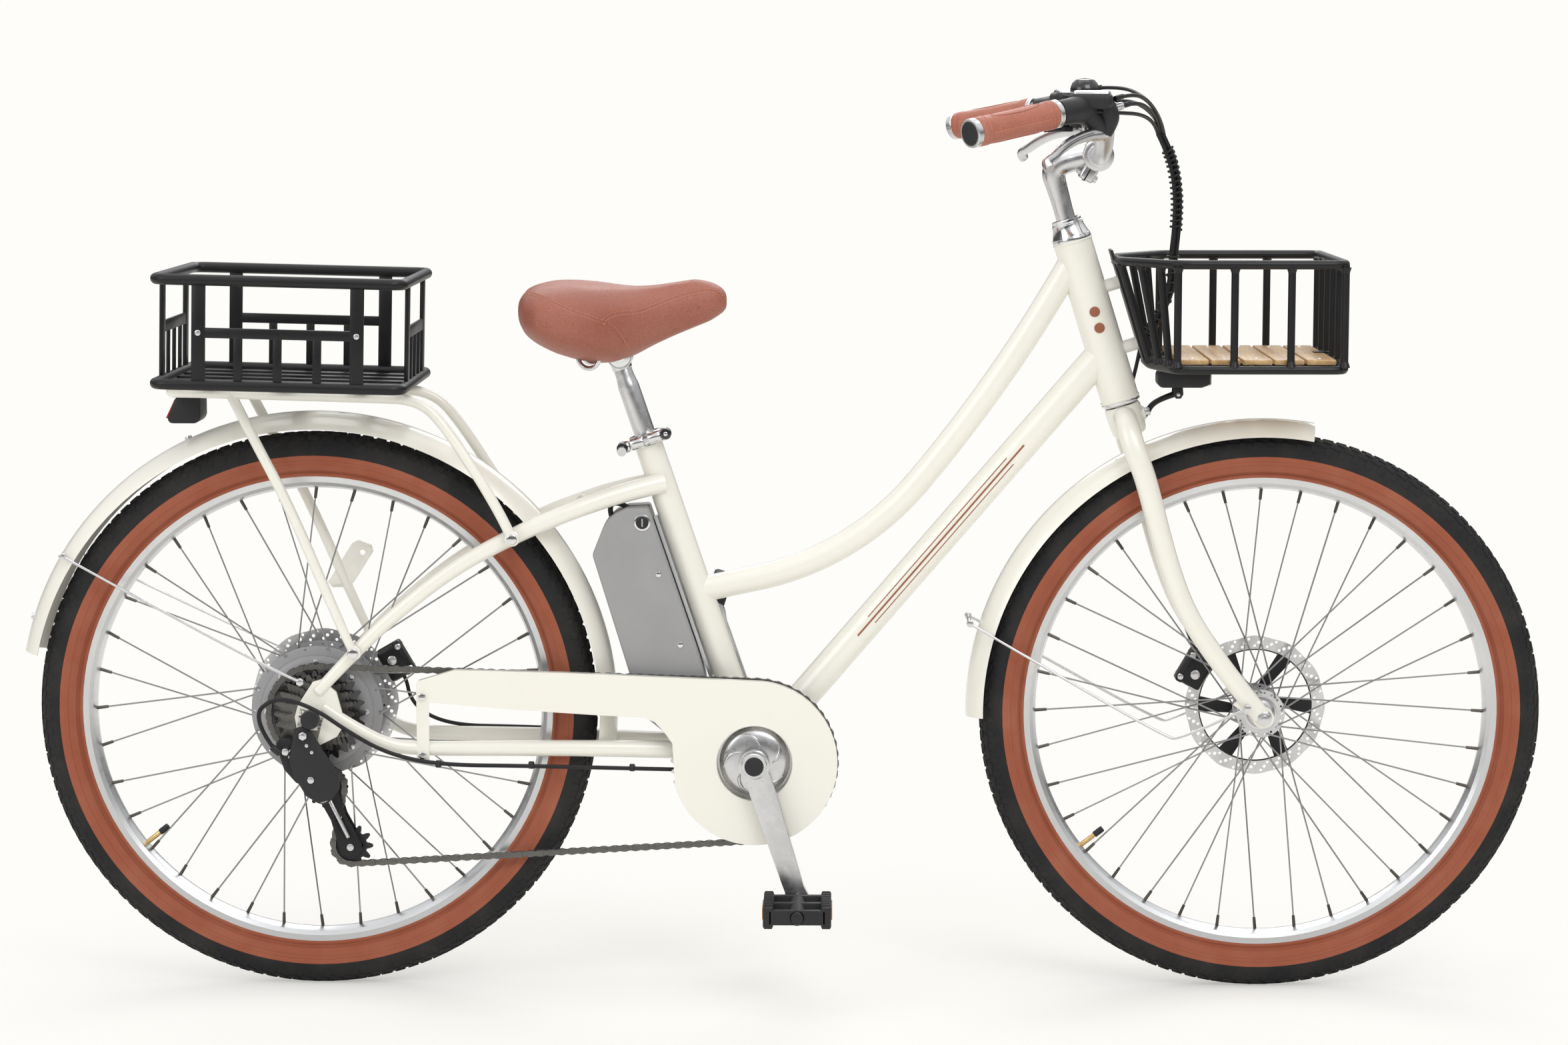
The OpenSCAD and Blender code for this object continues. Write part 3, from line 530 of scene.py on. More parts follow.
def tube(name, points, radius, material, taper=None, flat=1.0, sides=5, steps=10, order=3):
    """A bent tube: a smooth line near the points, which are in millimetres. Taper gives each
    point's share of the radius, and flat squeezes the section across the bicycle."""
    curve = bpy.data.curves.new(name, "CURVE")
    curve.dimensions, curve.bevel_depth, curve.bevel_resolution = "3D", radius * MM, sides
    curve.resolution_u, curve.use_fill_caps = steps, True
    spline = curve.splines.new("NURBS")
    spline.points.add(len(points) - 1)
    for i, (point, q) in enumerate(zip(spline.points, points)):
        x, y, z = at(*q)
        point.co = (x, y / flat, z, 1)
        point.radius = taper[i] if taper else 1
    spline.use_endpoint_u, spline.order_u = True, min(order, len(points))
    piece = converted(name, curve)
    piece.scale = (1, flat, 1)
    settle(piece)
    tidy(piece)
    smooth(piece, 50)
    return dress(piece, material)


def polar(centre, radius, angle):
    """A place in X and Z on a circle round a centre."""
    return centre[0] + radius * cos(angle), centre[-1] + radius * sin(angle)


def full_circle(count, shift=0):
    """That many even angles round a circle, from a share of a step on."""
    return [2 * pi * (k + shift) / count for k in range(count)]


def ring_of(centre, radius, sides=24):
    """Points all round a circle in the plane of X and Z."""
    return [polar(centre, radius, a) for a in full_circle(sides)]


def arc(centre, radius, degrees):
    """Points on a circle in the plane of X and Z, one at each of these angles."""
    return [polar(centre, radius, radians(d)) for d in degrees]


def plate(name, outlines, y0, y1, material, rounding=0.4, segments=2):
    """A flat piece cut to outlines in X and Z, in millimetres, from y0 to y1. An outline
    inside another is a hole."""
    curve = bpy.data.curves.new(name, "CURVE")
    curve.dimensions, curve.fill_mode, curve.extrude = "2D", "BOTH", abs(y1 - y0) / 2 * MM
    for outline in outlines:
        spline = curve.splines.new("POLY")
        spline.points.add(len(outline) - 1)
        for point, (x, z) in zip(spline.points, outline):
            place = at(x, 0, z)
            point.co = (place.x, place.z, 0, 1)
        spline.use_cyclic_u = True
    piece = converted(name, curve)
    piece.rotation_euler = (pi / 2, 0, 0)
    piece.location = (0, (y0 + y1) / 2 * MM, 0)
    settle(piece)
    tidy(piece)
    round_edges(piece, rounding, segments)
    return dress(piece, material)


def turned(name, place, profile, material, steps=96, axis=Y_AXIS, angle=35):
    """A piece turned on a lathe: the profile gives radius and distance along the axis, in
    millimetres. It closes on itself, or on the axis where its ends have no radius."""
    mesh = bpy.data.meshes.new(name)
    spots = [(r * MM, h * MM, 0) for r, h in profile]
    closed = profile[0][0] > 0 and profile[-1][0] > 0
    edges = [(i, i + 1) for i in range(len(spots) - 1)] + ([(len(spots) - 1, 0)] if closed else [])
    mesh.from_pydata(spots, edges, [])
    piece = object_of(name, mesh)
    apply_modifier(piece, "SCREW", axis="Y", steps=steps, render_steps=steps,
        use_merge_vertices=True, angle=radians(360), use_smooth_shade=False)
    tidy(piece, 0.002)
    piece.rotation_mode = "QUATERNION"
    piece.rotation_quaternion = Y_AXIS.rotation_difference(axis)
    piece.location = at(*place)
    settle(piece)
    smooth(piece, angle)
    return dress(piece, material)


def copies(name, one, moves):
    """One piece made of a copy of one at each move, each move a matrix. The model is deleted."""
    gathered = bmesh.new()
    for move in moves:
        mesh = one.data.copy()
        mesh.transform(move)
        if move.determinant() < 0:
            mesh.flip_normals()
        gathered.from_mesh(mesh)
        bpy.data.meshes.remove(mesh)
    mesh = bpy.data.meshes.new(name)
    gathered.to_mesh(mesh)
    gathered.free()
    for material in one.data.materials:
        mesh.materials.append(material)
    piece = object_of(name, mesh)
    bpy.data.objects.remove(one)
    return piece


def joined(name, *pieces):
    """Several pieces as one object, each keeping its own materials."""
    clear_selection()
    for piece in pieces:
        piece.select_set(True)
    bpy.context.view_layer.objects.active = pieces[0]
    bpy.ops.object.join()
    return named(name)


def turn_about(place, degrees, axis="Y"):
    """The turn by so many degrees about an axis through a place in millimetres."""
    centre = at(*place)
    spin = Matrix.Rotation(radians(degrees), 4, axis)
    return Matrix.Translation(centre) @ spin @ Matrix.Translation(-centre)


MIRROR = Matrix.Scale(-1, 4, Y_AXIS)
SAME = Matrix.Identity(4)


def moved(piece, matrix):
    piece.data.transform(matrix)
    if matrix.determinant() < 0:
        piece.data.flip_normals()
    return piece


def both_sides(name, piece):
    return copies(name, piece, [SAME, MIRROR])


def placed(piece, body, slot, *nodes):
    """Hands a finished piece to its body and hides the CAD nodes that it stands for; the slot is
    not used.
    """
    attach(piece, body)
    if nodes:
        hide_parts(*nodes)
    return piece


def finish_node(node, material):
    """A CAD node that is shown as it is, with its own material."""
    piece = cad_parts[node]
    piece.data.materials.clear()
    piece.data.materials.append(material)


# ---- wheels ----
RIM_R, SPOKES = 285, 36


def make_tyre(end, axle):
    mid, half = TYRE_R - 28.5, 28.3
    side = [(281, 15.2), (284.5, 17.6), (287, 17.6), (289, 16.6), (292, 20.5)]
    side += arc((mid, 0), half, (126, 114, 103, 94, 87))
    inner = arc((mid, 0), 24.5, (89, 99, 112, 132))
    casing = turned(end + "_tyre_wall", axle, side + inner + [(283, 14)], TYRE_TAN, 128)
    bead_line = arc((mid, 0), half + 0.5, (106, 104, 102, 100))
    rib = turned(end + "_tyre_rib", axle, bead_line + [(mid, 26), (mid - 7, 26)], TYRE_TAN, 128)
    walls = both_sides(end + "_tyre_walls", joined(end + "_tyre_walls", casing, rib))
    cap = [(mid + 27 * cos(a), 28.2 * sin(a)) for a in [radians(d) for d in range(-88, 89, 8)]]
    lining = arc((mid, 0), 23.5, range(88, -89, -8))
    tread = turned(end + "_tread", axle, cap + lining, TREAD_BLACK, 128)
    mid_block = block("knob", (axle[0] - 6.0, -3.6, axle[2] + TYRE_R - 3),
        (axle[0] + 6.0, 3.6, axle[2] + TYRE_R), TREAD_BLACK, 0.7, 1)
    centre = copies(end + "_centre_knobs", mid_block,
        [turn_about(axle, 360 * k / 132) for k in range(132)])
    knobs = [centre]
    for lean, width, length, count, shift in ((19, 3.2, 6.0, 120, 0.5), (37, 3.4, 7.0, 120, 0.0),
            (57, 4.4, 4.2, 120, 0.5)):
        knob = block("knob", (axle[0] - length, -width, axle[2] + mid + 27.2 - 1.2),
            (axle[0] + length, width, axle[2] + mid + 27.2 + 1.2), TREAD_BLACK, 0.6, 1)
        moved(knob, turn_about((axle[0], 0, axle[2] + mid), 12, Z_AXIS))
        moved(knob, turn_about((axle[0], 0, axle[2] + mid), -lean, "X"))
        moves = [turn_about(axle, 360 * (k + shift) / count) for k in range(count)]
        knobs.append(copies(f"{end}_knobs_{lean}", knob, moves + [MIRROR @ m for m in moves]))
    tread = joined(end + "_tread", tread, *knobs)
    placed(walls, end + "_wheel", "tan_rubber", end + "_tyre")
    placed(tread, end + "_wheel", "tan_rubber")


def make_rim(end, axle):
    profile = [(268.6, 0), (269.2, -6), (272, -12.6), (276.5, -16.2), (284.6, -17), (285.6, -16),
        (284.4, -14.6), (279, -13.4), (277.5, -10), (277, 0)]
    half = turned(end + "_rim", axle, profile, BRUSHED, 160, angle=24)
    rim = both_sides(end + "_rim", half)
    tidy(rim, 0.02)
    smooth(rim, 24)
    x, _, z = axle
    stem = rod("valve", (x, 0, z - 269), (x, 0, z - 240), 3.0, BRASS, 0.5, 16)
    cap = rod("valve_cap", (x, 0, z - 249), (x, 0, z - 236), 3.9, BLACK_PLASTIC, 1.0, 16)
    valve = joined(end + "_valve", stem, cap)
    moved(valve, turn_about(axle, 52))
    placed(rim, end + "_wheel", "brushed_alloy", end + "_rim")
    placed(valve, end + "_wheel", "black_plastic")


def make_spokes(end, axle, flange_r, flange_y, lean):
    """Crossed steel spokes with bent heads in the flanges and nipples in the rim."""
    step = 720 / SPOKES
    spokes, nipples = [], []
    for k in range(SPOKES // 2):
        for s in (-1, 1):
            a = radians(k * step + (step / 2 if s > 0 else 0))
            hub = a + radians(lean if k % 2 == 0 else -lean)
            y = s * (flange_y + (k % 2 - 0.5) * 3.7)
            inner = Vector((axle[0] + flange_r * cos(hub), y, axle[2] + flange_r * sin(hub)))
            outer = Vector((axle[0] + 270 * cos(a), s * 2.5, axle[2] + 270 * sin(a)))
            along = (outer - inner).normalized()
            inward = inner + Vector((0, -(k % 2 - 0.5) * s * 6, 0))
            spokes.append(rod("spoke", inner - along * 0.5, outer - along * 14, 1.0, SPOKE_STEEL,
                0, 6))
            spokes.append(rod("head", inner, inward, 1.0, SPOKE_STEEL, 0, 6))
            nipples.append(rod("nipple", outer - along * 15, outer + along, 1.8, DARK_NIPPLE, 0, 8,
                2.1))
    wheel = end + "_wheel"
    placed(joined(end + "_spokes", *spokes), wheel, "steel", end + "_spokes")
    placed(joined(end + "_nipples", *nipples), wheel, "steel")


def hub_holes(name, axle, radius, y0, y1, outer, inner, material):
    """A hub flange drilled for its spokes."""
    holes = [ring_of(place, 1.5, 8) for place in ring_of(axle, radius, 18)]
    rim = [ring_of(axle, outer, 72), ring_of(axle, inner, 48)]
    return plate(name, rim + holes, y0, y1, material, 0.3, 1)


def make_front_hub(axle):
    profile = [(0, -33), (8, -33), (13, -32.5), (15.5, -30), (16, -27), (17, -25.6), (22, -25),
        (22, -23.6), (15, -22.5), (12.2, -19), (11.2, -10), (11, 0), (11.2, 10), (12.2, 19),
        (15, 22.5), (22, 23.6), (22, 25), (17, 25.8), (16, 29), (16, 37.4), (0, 37.4)]
    barrel = turned("front_hub", axle, profile, ALLOY, 64)
    flanges = [hub_holes("flange", axle, 25.5, s * 24, s * 25.6, 29, 20, ALLOY) for s in (-1, 1)]
    placed(joined("front_hub", barrel, *flanges), "front_wheel", "polished_alloy", "front_hub")


def make_motor_hub(axle):
    profile = [(0, -28), (24, -28), (30, -27.4), (56, -26.6), (64, -25), (68.5, -22), (70, -18.5),
        (70, 18.5), (68.5, 22), (64, 25), (52, 26.8), (30, 27.4), (26, 28), (26, 50.6), (0, 50.6)]
    drum = turned("motor_drum", axle, profile, MOTOR_GREY, 96)
    flanges = [hub_holes("flange", axle, 75.5, s * 20.6, s * 22.6, 79, 68, MOTOR_GREY)
        for s in (-1, 1)]
    bolts = [rod("bolt", (x, s * 24, z), (x, s * 28.2, z), 3.4, STEEL, 0.5, 12) for x,
        z in ring_of(axle, 60, 8) for s in (1, -1)]
    placed(joined("motor_hub", drum, *flanges), "rear_wheel", "motor_paint", "motor_hub")
    placed(joined("motor_bolts", *bolts), "rear_wheel", "steel")


def make_rotor(end, axle, radius, y):
    """A brake disc: a drilled ring on six curved arms, screwed to the hub."""
    holes = []
    for a in full_circle(30):
        for inset, turn, size in ((4, 0.0, 1.9), (8.2, 0.06, 2.2), (12.4, 0.12, 1.9)):
            holes.append(ring_of(polar(axle, radius - inset, a + turn), size, 10))
    wavy = [polar(axle, radius - 0.8 + 0.8 * cos(12 * a), a) for a in full_circle(144)]
    ring = plate("ring", [wavy, ring_of(axle, radius - 16, 96)] + holes, y, y + 2, STEEL, 0.2, 1)
    windows = []
    for a0 in full_circle(6):
        outer = [(radius - 17.5, a0 + 0.12 + 0.11 * j) for j in range(8)]
        inner = [(27, a0 + 0.55 - 0.12 * j + 0.42) for j in range(6)]
        windows.append([polar(axle, r, a) for r, a in outer + inner])
    screws_at = [polar(axle, 22, a) for a in full_circle(6, 0.5)]
    carrier = plate("carrier", [ring_of(axle, radius - 14.5, 96), ring_of(axle, 13, 32)] + windows,
        y + 0.2, y + 1.8, BLACK_PAINT, 0.3, 1)
    screws = [disc("screw", (x, 0, z), 3.6, y - 1.4, y + 4, STEEL, 0.5, 12) for x, z in screws_at]
    wheel = end + "_wheel"
    placed(ring, wheel, "steel", end + "_rotor")
    placed(joined(end + "_rotor_carrier", carrier, *screws), wheel, "steel")


def make_wheels():
    front, rear = (WHEELBASE, 0, TYRE_R), (0, 0, TYRE_R)
    for end, axle in (("front", front), ("rear", rear)):
        make_tyre(end, axle)
        make_rim(end, axle)
    make_spokes("front", front, 25.5, 24.75, 52)
    make_spokes("rear", rear, 75.5, 21.5, 21.8)
    make_front_hub(front)
    make_motor_hub(rear)
    make_rotor("front", front, 85, 38)
    make_rotor("rear", rear, 90, 51)


make_wheels()


# ---- frame, fork and mudguards ----
SEAT_STAY = [(418, 15, 613), (370, 27, 603), (300, 46, 579), (240, 56, 553), (170, 62, 516),
    (95, 67, 457), (45, 71, 408), (8, 73, 368)]
CHAIN_STAY = [(522, 20, 284), (470, 24, 290), (400, 32, 293), (300, 43, 296), (190, 52, 297),
    (125, 54, 297), (90, 62, 302), (50, 71, 325), (14, 73, 350)]
BLADE = [(966, 4, 694), (967, 26, 692), (971, 44, 676), (978, 52, 652), (989, 53, 626),
    (1005, 54, 565), (1021, 54, 510), (1040, 55, 462), (1070, 56, 416), (1104, 56, 371),
    (1131, 55, 338)]


def fading(points, first, last):
    """The share of the radius at each point, from first to last."""
    count = len(points) - 1
    return [first + (last - first) * i / count for i in range(count + 1)]


def weld(name, place, axis, radius, width, material=None):
    """A ring of smooth weld bead round the end of a tube."""
    clear_selection()
    bpy.ops.mesh.primitive_torus_add(major_radius=radius * MM, minor_radius=width * MM,
        major_segments=48, minor_segments=8)
    bead = named(name)
    bead.rotation_euler = Vector(axis).to_track_quat("Z", "Y").to_euler()
    bead.location = at(*place)
    settle(bead)
    smooth(bead, 60)
    return dress(bead, material or IVORY)


def make_main_tubes():
    for node in ("head_tube", "down_tube", "top_tube", "seat_tube", "rear_mudguard",
            "front_mudguard"):
        finish_node(node, IVORY)
        smooth(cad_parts[node], 30)
    collars = [weld("collar", on_head(0, 0, h), HEAD_UP, 22.6, 1.5) for h in (2, HEAD_LENGTH - 2)]
    shell = [weld("shell_edge", (527, s * 33, 281), Y_AXIS, 20, 1.4) for s in (-1, 1)]
    placed(joined("frame_collars", *collars, *shell), "frame", "ivory_paint")


def make_headset():
    cone = turned("headset_cone", on_head(0, 0, HEAD_LENGTH), [(14.6, -2), (22.8, -2), (23.2, 0),
        (23.2, 3), (22, 6), (19.4, 14), (18.6, 18), (18.6, 21), (17.6, 22.4), (17.6, 25),
        (16.4, 26), (14.6, 26)], CHROME, 64, HEAD_UP)
    grooves = [weld("groove", on_head(0, 0, HEAD_LENGTH + h), HEAD_UP, r, 0.5, CHROME) for h,
        r in ((4.4, 22.8), (19.6, 18.8))]
    lower = turned("headset_foot", on_head(0, 0, -5), [(14.6, 0), (20.5, 0), (22.6, 1),
        (23.4, 2.4), (23.4, 4.4), (22.6, 5.4), (14.6, 5.4)], CHROME, 64, HEAD_UP)
    placed(joined("headset_rings", cone, lower, *grooves), "frame", "chrome", "headset")


def make_stays():
    stays = both_sides("stays", tube("stay", SEAT_STAY, 12.5, IVORY, fading(SEAT_STAY, 1, 0.56),
        0.86))
    bridge = rod("bridge", (318, -38, 586), (318, 38, 586), 7.8, IVORY, 0)
    pads = [disc("pad", (241, 0, 552), 6, s * 60, s * 69, IVORY, 1.0) for s in (-1, 1)]
    screw = disc("bridge_bolt", (318, 0, 586), 5, -42, -38, CHROME, 1.2, 20)
    caps = both_sides("caps", disc("cap", (318, 0, 586), 4.5, 38, 42, CHROME, 1.2, 20))
    placed(joined("seat_stays", stays, bridge, *pads), "frame", "ivory_paint", "seat_stays")
    placed(joined("bridge_bolts", screw, caps), "frame", "chrome")
    lower = both_sides("chain_stays", tube("stay", CHAIN_STAY, 11.6, IVORY,
        fading(CHAIN_STAY, 1, 0.6), 0.88))
    ends = [(-20, 338), (-16, 352), (2, 380), (12, 383), (30, 368), (40, 330), (30, 314),
        (10, 304), (-8, 312), (-18, 326)]
    axle_slot = [(-6.2, TYRE_R - 14), (6.2, TYRE_R - 14), (6.2, TYRE_R)]
    axle_slot += arc((0, TYRE_R), 6.2, range(30, 181, 30))
    dropout = plate("dropout", [ends, axle_slot], 67.5, 73.5, IVORY, 1.2, 2)
    dropouts = both_sides("dropouts", dropout)
    hanger = plate("hanger", [[(-14, 350), (16, 340), (8, 310), (0, 304), (-14, 304), (-20, 316)]],
        -73.5, -67.5, IVORY, 1.0, 2)
    tie = rod("tie", (352, -33, 294), (352, 33, 294), 7.6, IVORY, 0)
    placed(joined("chain_stays", lower, dropouts, hanger, tie), "frame", "ivory_paint",
        "chain_stays")


def make_fork():
    blades = both_sides("blades", tube("blade", BLADE, 14.5, IVORY, fading(BLADE, 1, 0.78), 0.72))
    crown = turned("crown", on_head(0, 0, -44), [(0, 0), (15, 0), (18.6, 2), (20.5, 6), (21.4, 14),
        (21.8, 34), (20.6, 37.6), (14, 38), (0, 38)], IVORY, 64, HEAD_UP)
    boss = rod("boss", on_head(-21, 0, -22), on_head(24, 0, -22), 8.5, IVORY, 1.2)
    tip = [(1120, 336), (1121, 330), (1126, 325), (1133, 323.5), (1140, 325), (1145.5, 331),
        (1146, 338), (1142, 346), (1128, 356), (1112, 366), (1096, 352)]
    tips = both_sides("tips", plate("tip", [tip], 50.5, 56.2, IVORY, 1.4, 2))
    placed(joined("fork", blades, crown, boss, tips), "front_assembly", "ivory_paint", "fork")


make_main_tubes()
make_headset()
make_stays()
make_fork()


# ---- rack, crate and lamps ----
RACK_RAIL = [(-166, 0, 724), (-166, 44, 724), (-160, 60, 724), (-130, 62, 724), (80, 62, 718),
    (128, 64, 716), (160, 66, 690), (236, 70, 568), (242, 71, 545)]
RACK_LEG = [(-92, 62, 724), (-66, 66, 672), (-23, 71, 591), (35, 79, 453), (53, 81, 414)]
CRATE_SIZE, CRATE_AT, CRATE_TILT = Vector((300, 290, 122)), Vector((-25, 0, 737)), radians(1.4)


def make_rack():
    rail = both_sides("rail", tube("rail", RACK_RAIL, 6.2, IVORY))
    leg = both_sides("leg", tube("leg", RACK_LEG, 6.2, IVORY, [1, 1, 1, 1, 0.8]))
    bars = [rod("bar", (x, -62, 722.5 - x / 46), (x, 62, 722.5 - x / 46), 5, IVORY, 0, 20)
        for x in (-80, -10, 60)]
    feet = both_sides("feet", disc("foot", (241, 0, 552), 9, 69, 77.6, IVORY, 1.5, 32))
    eyes = both_sides("eyes", disc("eye", (53, 0, 416), 8.5, 76.5, 84.5, IVORY, 1.5, 32))
    flat = [(2, 480), (8, 474), (26, 474), (34, 480), (58, 518), (56, 526), (40, 532), (32, 528)]
    lamp_plate = plate("lamp_plate", [flat, ring_of((45, 517), 3.4, 16),
        ring_of((20, 487), 3.4, 16)], 74, 77, IVORY, 0.8)
    placed(joined("rear_rack", rail, leg, *bars, feet, eyes, lamp_plate), "frame", "ivory_paint",
        "rear_rack")


def in_crate(x, y, z):
    """A place in the crate's own tilted frame, from the middle of its floor."""
    turn = Matrix.Rotation(CRATE_TILT, 3, "Y")
    return CRATE_AT + turn @ Vector((x, y, z))


def crate_hoop(z, radius):
    """A round wire bent round the crate's four rounded corners."""
    half_x, half_y, bend = CRATE_SIZE.x / 2 - 6, CRATE_SIZE.y / 2 - 6, 14
    points = []
    for sx, sy, first in ((1, 1, 0), (-1, 1, 90), (-1, -1, 180), (1, -1, 270)):
        corner = (sx * (half_x - bend), sy * (half_y - bend))
        points += [in_crate(x, y, z) for x,
            y in arc(corner, bend, [first + 22.5 * k for k in range(5)])]
    return closed_tube("hoop", points, radius, BLACK_PAINT)


def closed_tube(name, points, radius, material, sides=5):
    curve = bpy.data.curves.new(name, "CURVE")
    curve.dimensions, curve.bevel_depth, curve.bevel_resolution = "3D", radius * MM, sides
    spline = curve.splines.new("POLY")
    spline.points.add(len(points) - 1)
    for point, q in zip(spline.points, points):
        point.co = (*at(*q), 1)
    spline.use_cyclic_u = True
    piece = converted(name, curve)
    tidy(piece)
    smooth(piece, 50)
    return dress(piece, material)


def crate_strip(low, high, rounding=1.2):
    """A flat strip of the crate, in its own frame."""
    strip = block("strip", CRATE_AT + Vector(low), CRATE_AT + Vector(high), BLACK_PAINT, rounding)
    return moved(strip, turn_about(CRATE_AT, math.degrees(CRATE_TILT)))


def make_crate():
    half_x, half_y, top = 144, 139, CRATE_SIZE.z
    parts = [crate_hoop(0, 6.4), crate_hoop(top, 6.6)]
    for sy in (-1, 1):
        for sx in (-1, 1):
            parts.append(crate_strip((sx * 92 - 8, sy * half_y - 2.5, -3),
                (sx * 92 + 8, sy * half_y + 2.5, top)))
            parts.append(crate_strip((sx * half_x - 2.5, sy * 80 - 8, -3),
                (sx * half_x + 2.5, sy * 80 + 8, top)))
        parts.append(crate_strip((-92, sy * half_y - 2, 55), (92, sy * half_y + 2, 67)))
        parts += [crate_strip((x - 5, sy * half_y - 2, 0), (x + 5, sy * half_y + 2, 57))
            for x in (-46, 0, 46)]
    for sx in (-1, 1):
        parts.append(crate_strip((sx * half_x - 2, -86, 56), (sx * half_x + 2, 86, 70)))
        parts += [crate_strip((sx * half_x - 2, y - 4, 0), (sx * half_x + 2, y + 4, 58))
            for y in (-40, 0, 40)]
    for i in range(-2, 3):
        parts.append(crate_strip((-half_x, i * 52 - 9, -4), (half_x, i * 52 + 9, -0.5), 0.8))
    for x in (-90, 0, 90):
        parts.append(crate_strip((x - 10, -half_y, -6.5), (x + 10, half_y, -3.5), 0.8))
    placed(joined("rear_crate", *parts), "frame", "black_paint", "rear_crate")
    screws = []
    for sx in (-1, 1):
        for sy in (-1, 1):
            spot = in_crate(sx * 92, sy * (half_y + 2), 61)
            screws.append(rod("screw", spot, spot + Vector((0, sy * 2.4, 0)), 3.6, STEEL, 0.8, 16))
    placed(joined("crate_screws", *screws), "frame", "steel")


def make_tail_light():
    outline = [(-163, 716), (-134, 717), (-134, 690), (-139, 684), (-170, 684), (-174, 688)]
    housing = plate("tail_light", [outline], -26, 26, BLACK_PLASTIC, 3.0, 3)
    face = [(-176, 690), (-165, 713), (-161.5, 713), (-172, 689)]
    glass = plate("tail_lens", [face], -22, 22, RED_LENS, 1.0, 2)
    bracket = block("bracket", (-148, -9, 712), (-134, 9, 724), BLACK_PAINT, 1.0)
    placed(joined("tail_light_housing", housing, bracket), "frame", "black_plastic", "tail_light")
    placed(glass, "frame", "black_plastic")


# ---- front basket ----
BASKET_X, BASKET_HALF, BASKET_FLOOR, BASKET_TOP = (1018, 1213), 130, 757, 879
BASKET_BACK = (994, 957)


def basket_corners(back_x, z):
    front, middle, half, narrow = BASKET_X[1], BASKET_X[0], BASKET_HALF, 42
    return [Vector(q) for q in ((back_x, -narrow, z), (middle, -half, z), (front, -half, z),
        (front, half, z), (middle, half, z), (back_x, narrow, z))]


def rounded_loop(corners, bend):
    """The corners of a closed hoop, each rounded by a short curve."""
    points = []
    for i, corner in enumerate(corners):
        before, after = corners[i - 1], corners[(i + 1) % len(corners)]
        a = corner + (before - corner).normalized() * bend
        b = corner + (after - corner).normalized() * bend
        points += [a.lerp(corner, t).lerp(corner.lerp(b, t), t) for t in (0, 0.25, 0.5, 0.75, 1)]
    return points


def make_basket():
    low, high = basket_corners(BASKET_BACK[0], BASKET_FLOOR), basket_corners(BASKET_BACK[1],
        BASKET_TOP)
    parts = [closed_tube("hoop", rounded_loop(low, 16), 5.0, BLACK_PAINT),
        closed_tube("hoop", rounded_loop(high, 16), 5.4, BLACK_PAINT)]
    stops = ((0, (0, 0.35, 0.7)), (1, (0, 0.34, 0.68)), (2, (0, 0.2, 0.4, 0.6, 0.8)),
        (3, (0, 0.32, 0.66)), (4, (0, 0.3, 0.65)), (5, (0, 0.5)))
    for side, shares in stops:
        for t in shares:
            a = low[side].lerp(low[(side + 1) % 6], t)
            b = high[side].lerp(high[(side + 1) % 6], t)
            inward = Vector((1100, 0, a.z)) - a
            inward.z = 0
            shift = inward.normalized() * 1.5
            a, b = a + shift, b + shift
            rise = (b - a).normalized()
            parts.append(rod("bar", a, b, 4.5, BLACK_PAINT, 0, 16))
            parts.append(rod("weld", a + rise * 3, a + rise * 10, 6.6, BLACK_PAINT, 0, 16, 4.4))
            parts.append(rod("weld", b - rise * 3, b - rise * 10, 6.6, BLACK_PAINT, 0, 16, 4.4))
    for y in (-80, 0, 80):
        parts.append(rod("floor_bar", (BASKET_BACK[0], y / 2, BASKET_FLOOR),
            (BASKET_X[1], y, BASKET_FLOOR), 3.3, BLACK_PAINT, 0, 14))
    for x in (1055, 1110, 1165):
        parts.append(rod("cross_bar", (x, -BASKET_HALF, BASKET_FLOOR),
            (x, BASKET_HALF, BASKET_FLOOR), 2.8, BLACK_PAINT, 0, 12))
    bracket = block("bracket", (963 + 38.5, -18, 711 + 36), (963 + 42, 18, 711 + 176), BLACK_PAINT,
        1.2)
    moved(bracket, turn_about(HEAD_FOOT, -math.degrees(HEAD_TILT)))
    tab = block("tab", (1192, -8, 768), (1214, 8, 770), BLACK_PAINT, 0.6)
    placed(joined("basket_frame", *parts, bracket, tab), "frame", "black_paint", "basket_frame")
    bolts = [rod("boss_bolt", on_head(38, 0, h), on_head(46, 0, h), 6.2, STEEL, 1.2, 24)
        for h in (60, 136)]
    placed(joined("basket_bolts", *bolts), "frame", "steel")


def make_deck():
    """Five bamboo boards on the basket's floor, with slots between them."""
    boards, screws = [], []
    for i in range(5):
        x = 1022 + 37 * i
        boards.append(block("board", (x, -121, 762.5), (x + 34, 121, 768.5), BAMBOO, 1.4, 3))
        for y in (-100, 100):
            screws.append(rod("screw", (x + 17, y, 767), (x + 17, y, 769.2), 3, STEEL, 0.6, 16))
    placed(joined("basket_deck", *boards), "frame", "bamboo", "basket_deck")
    placed(joined("deck_screws", *screws), "frame", "steel")


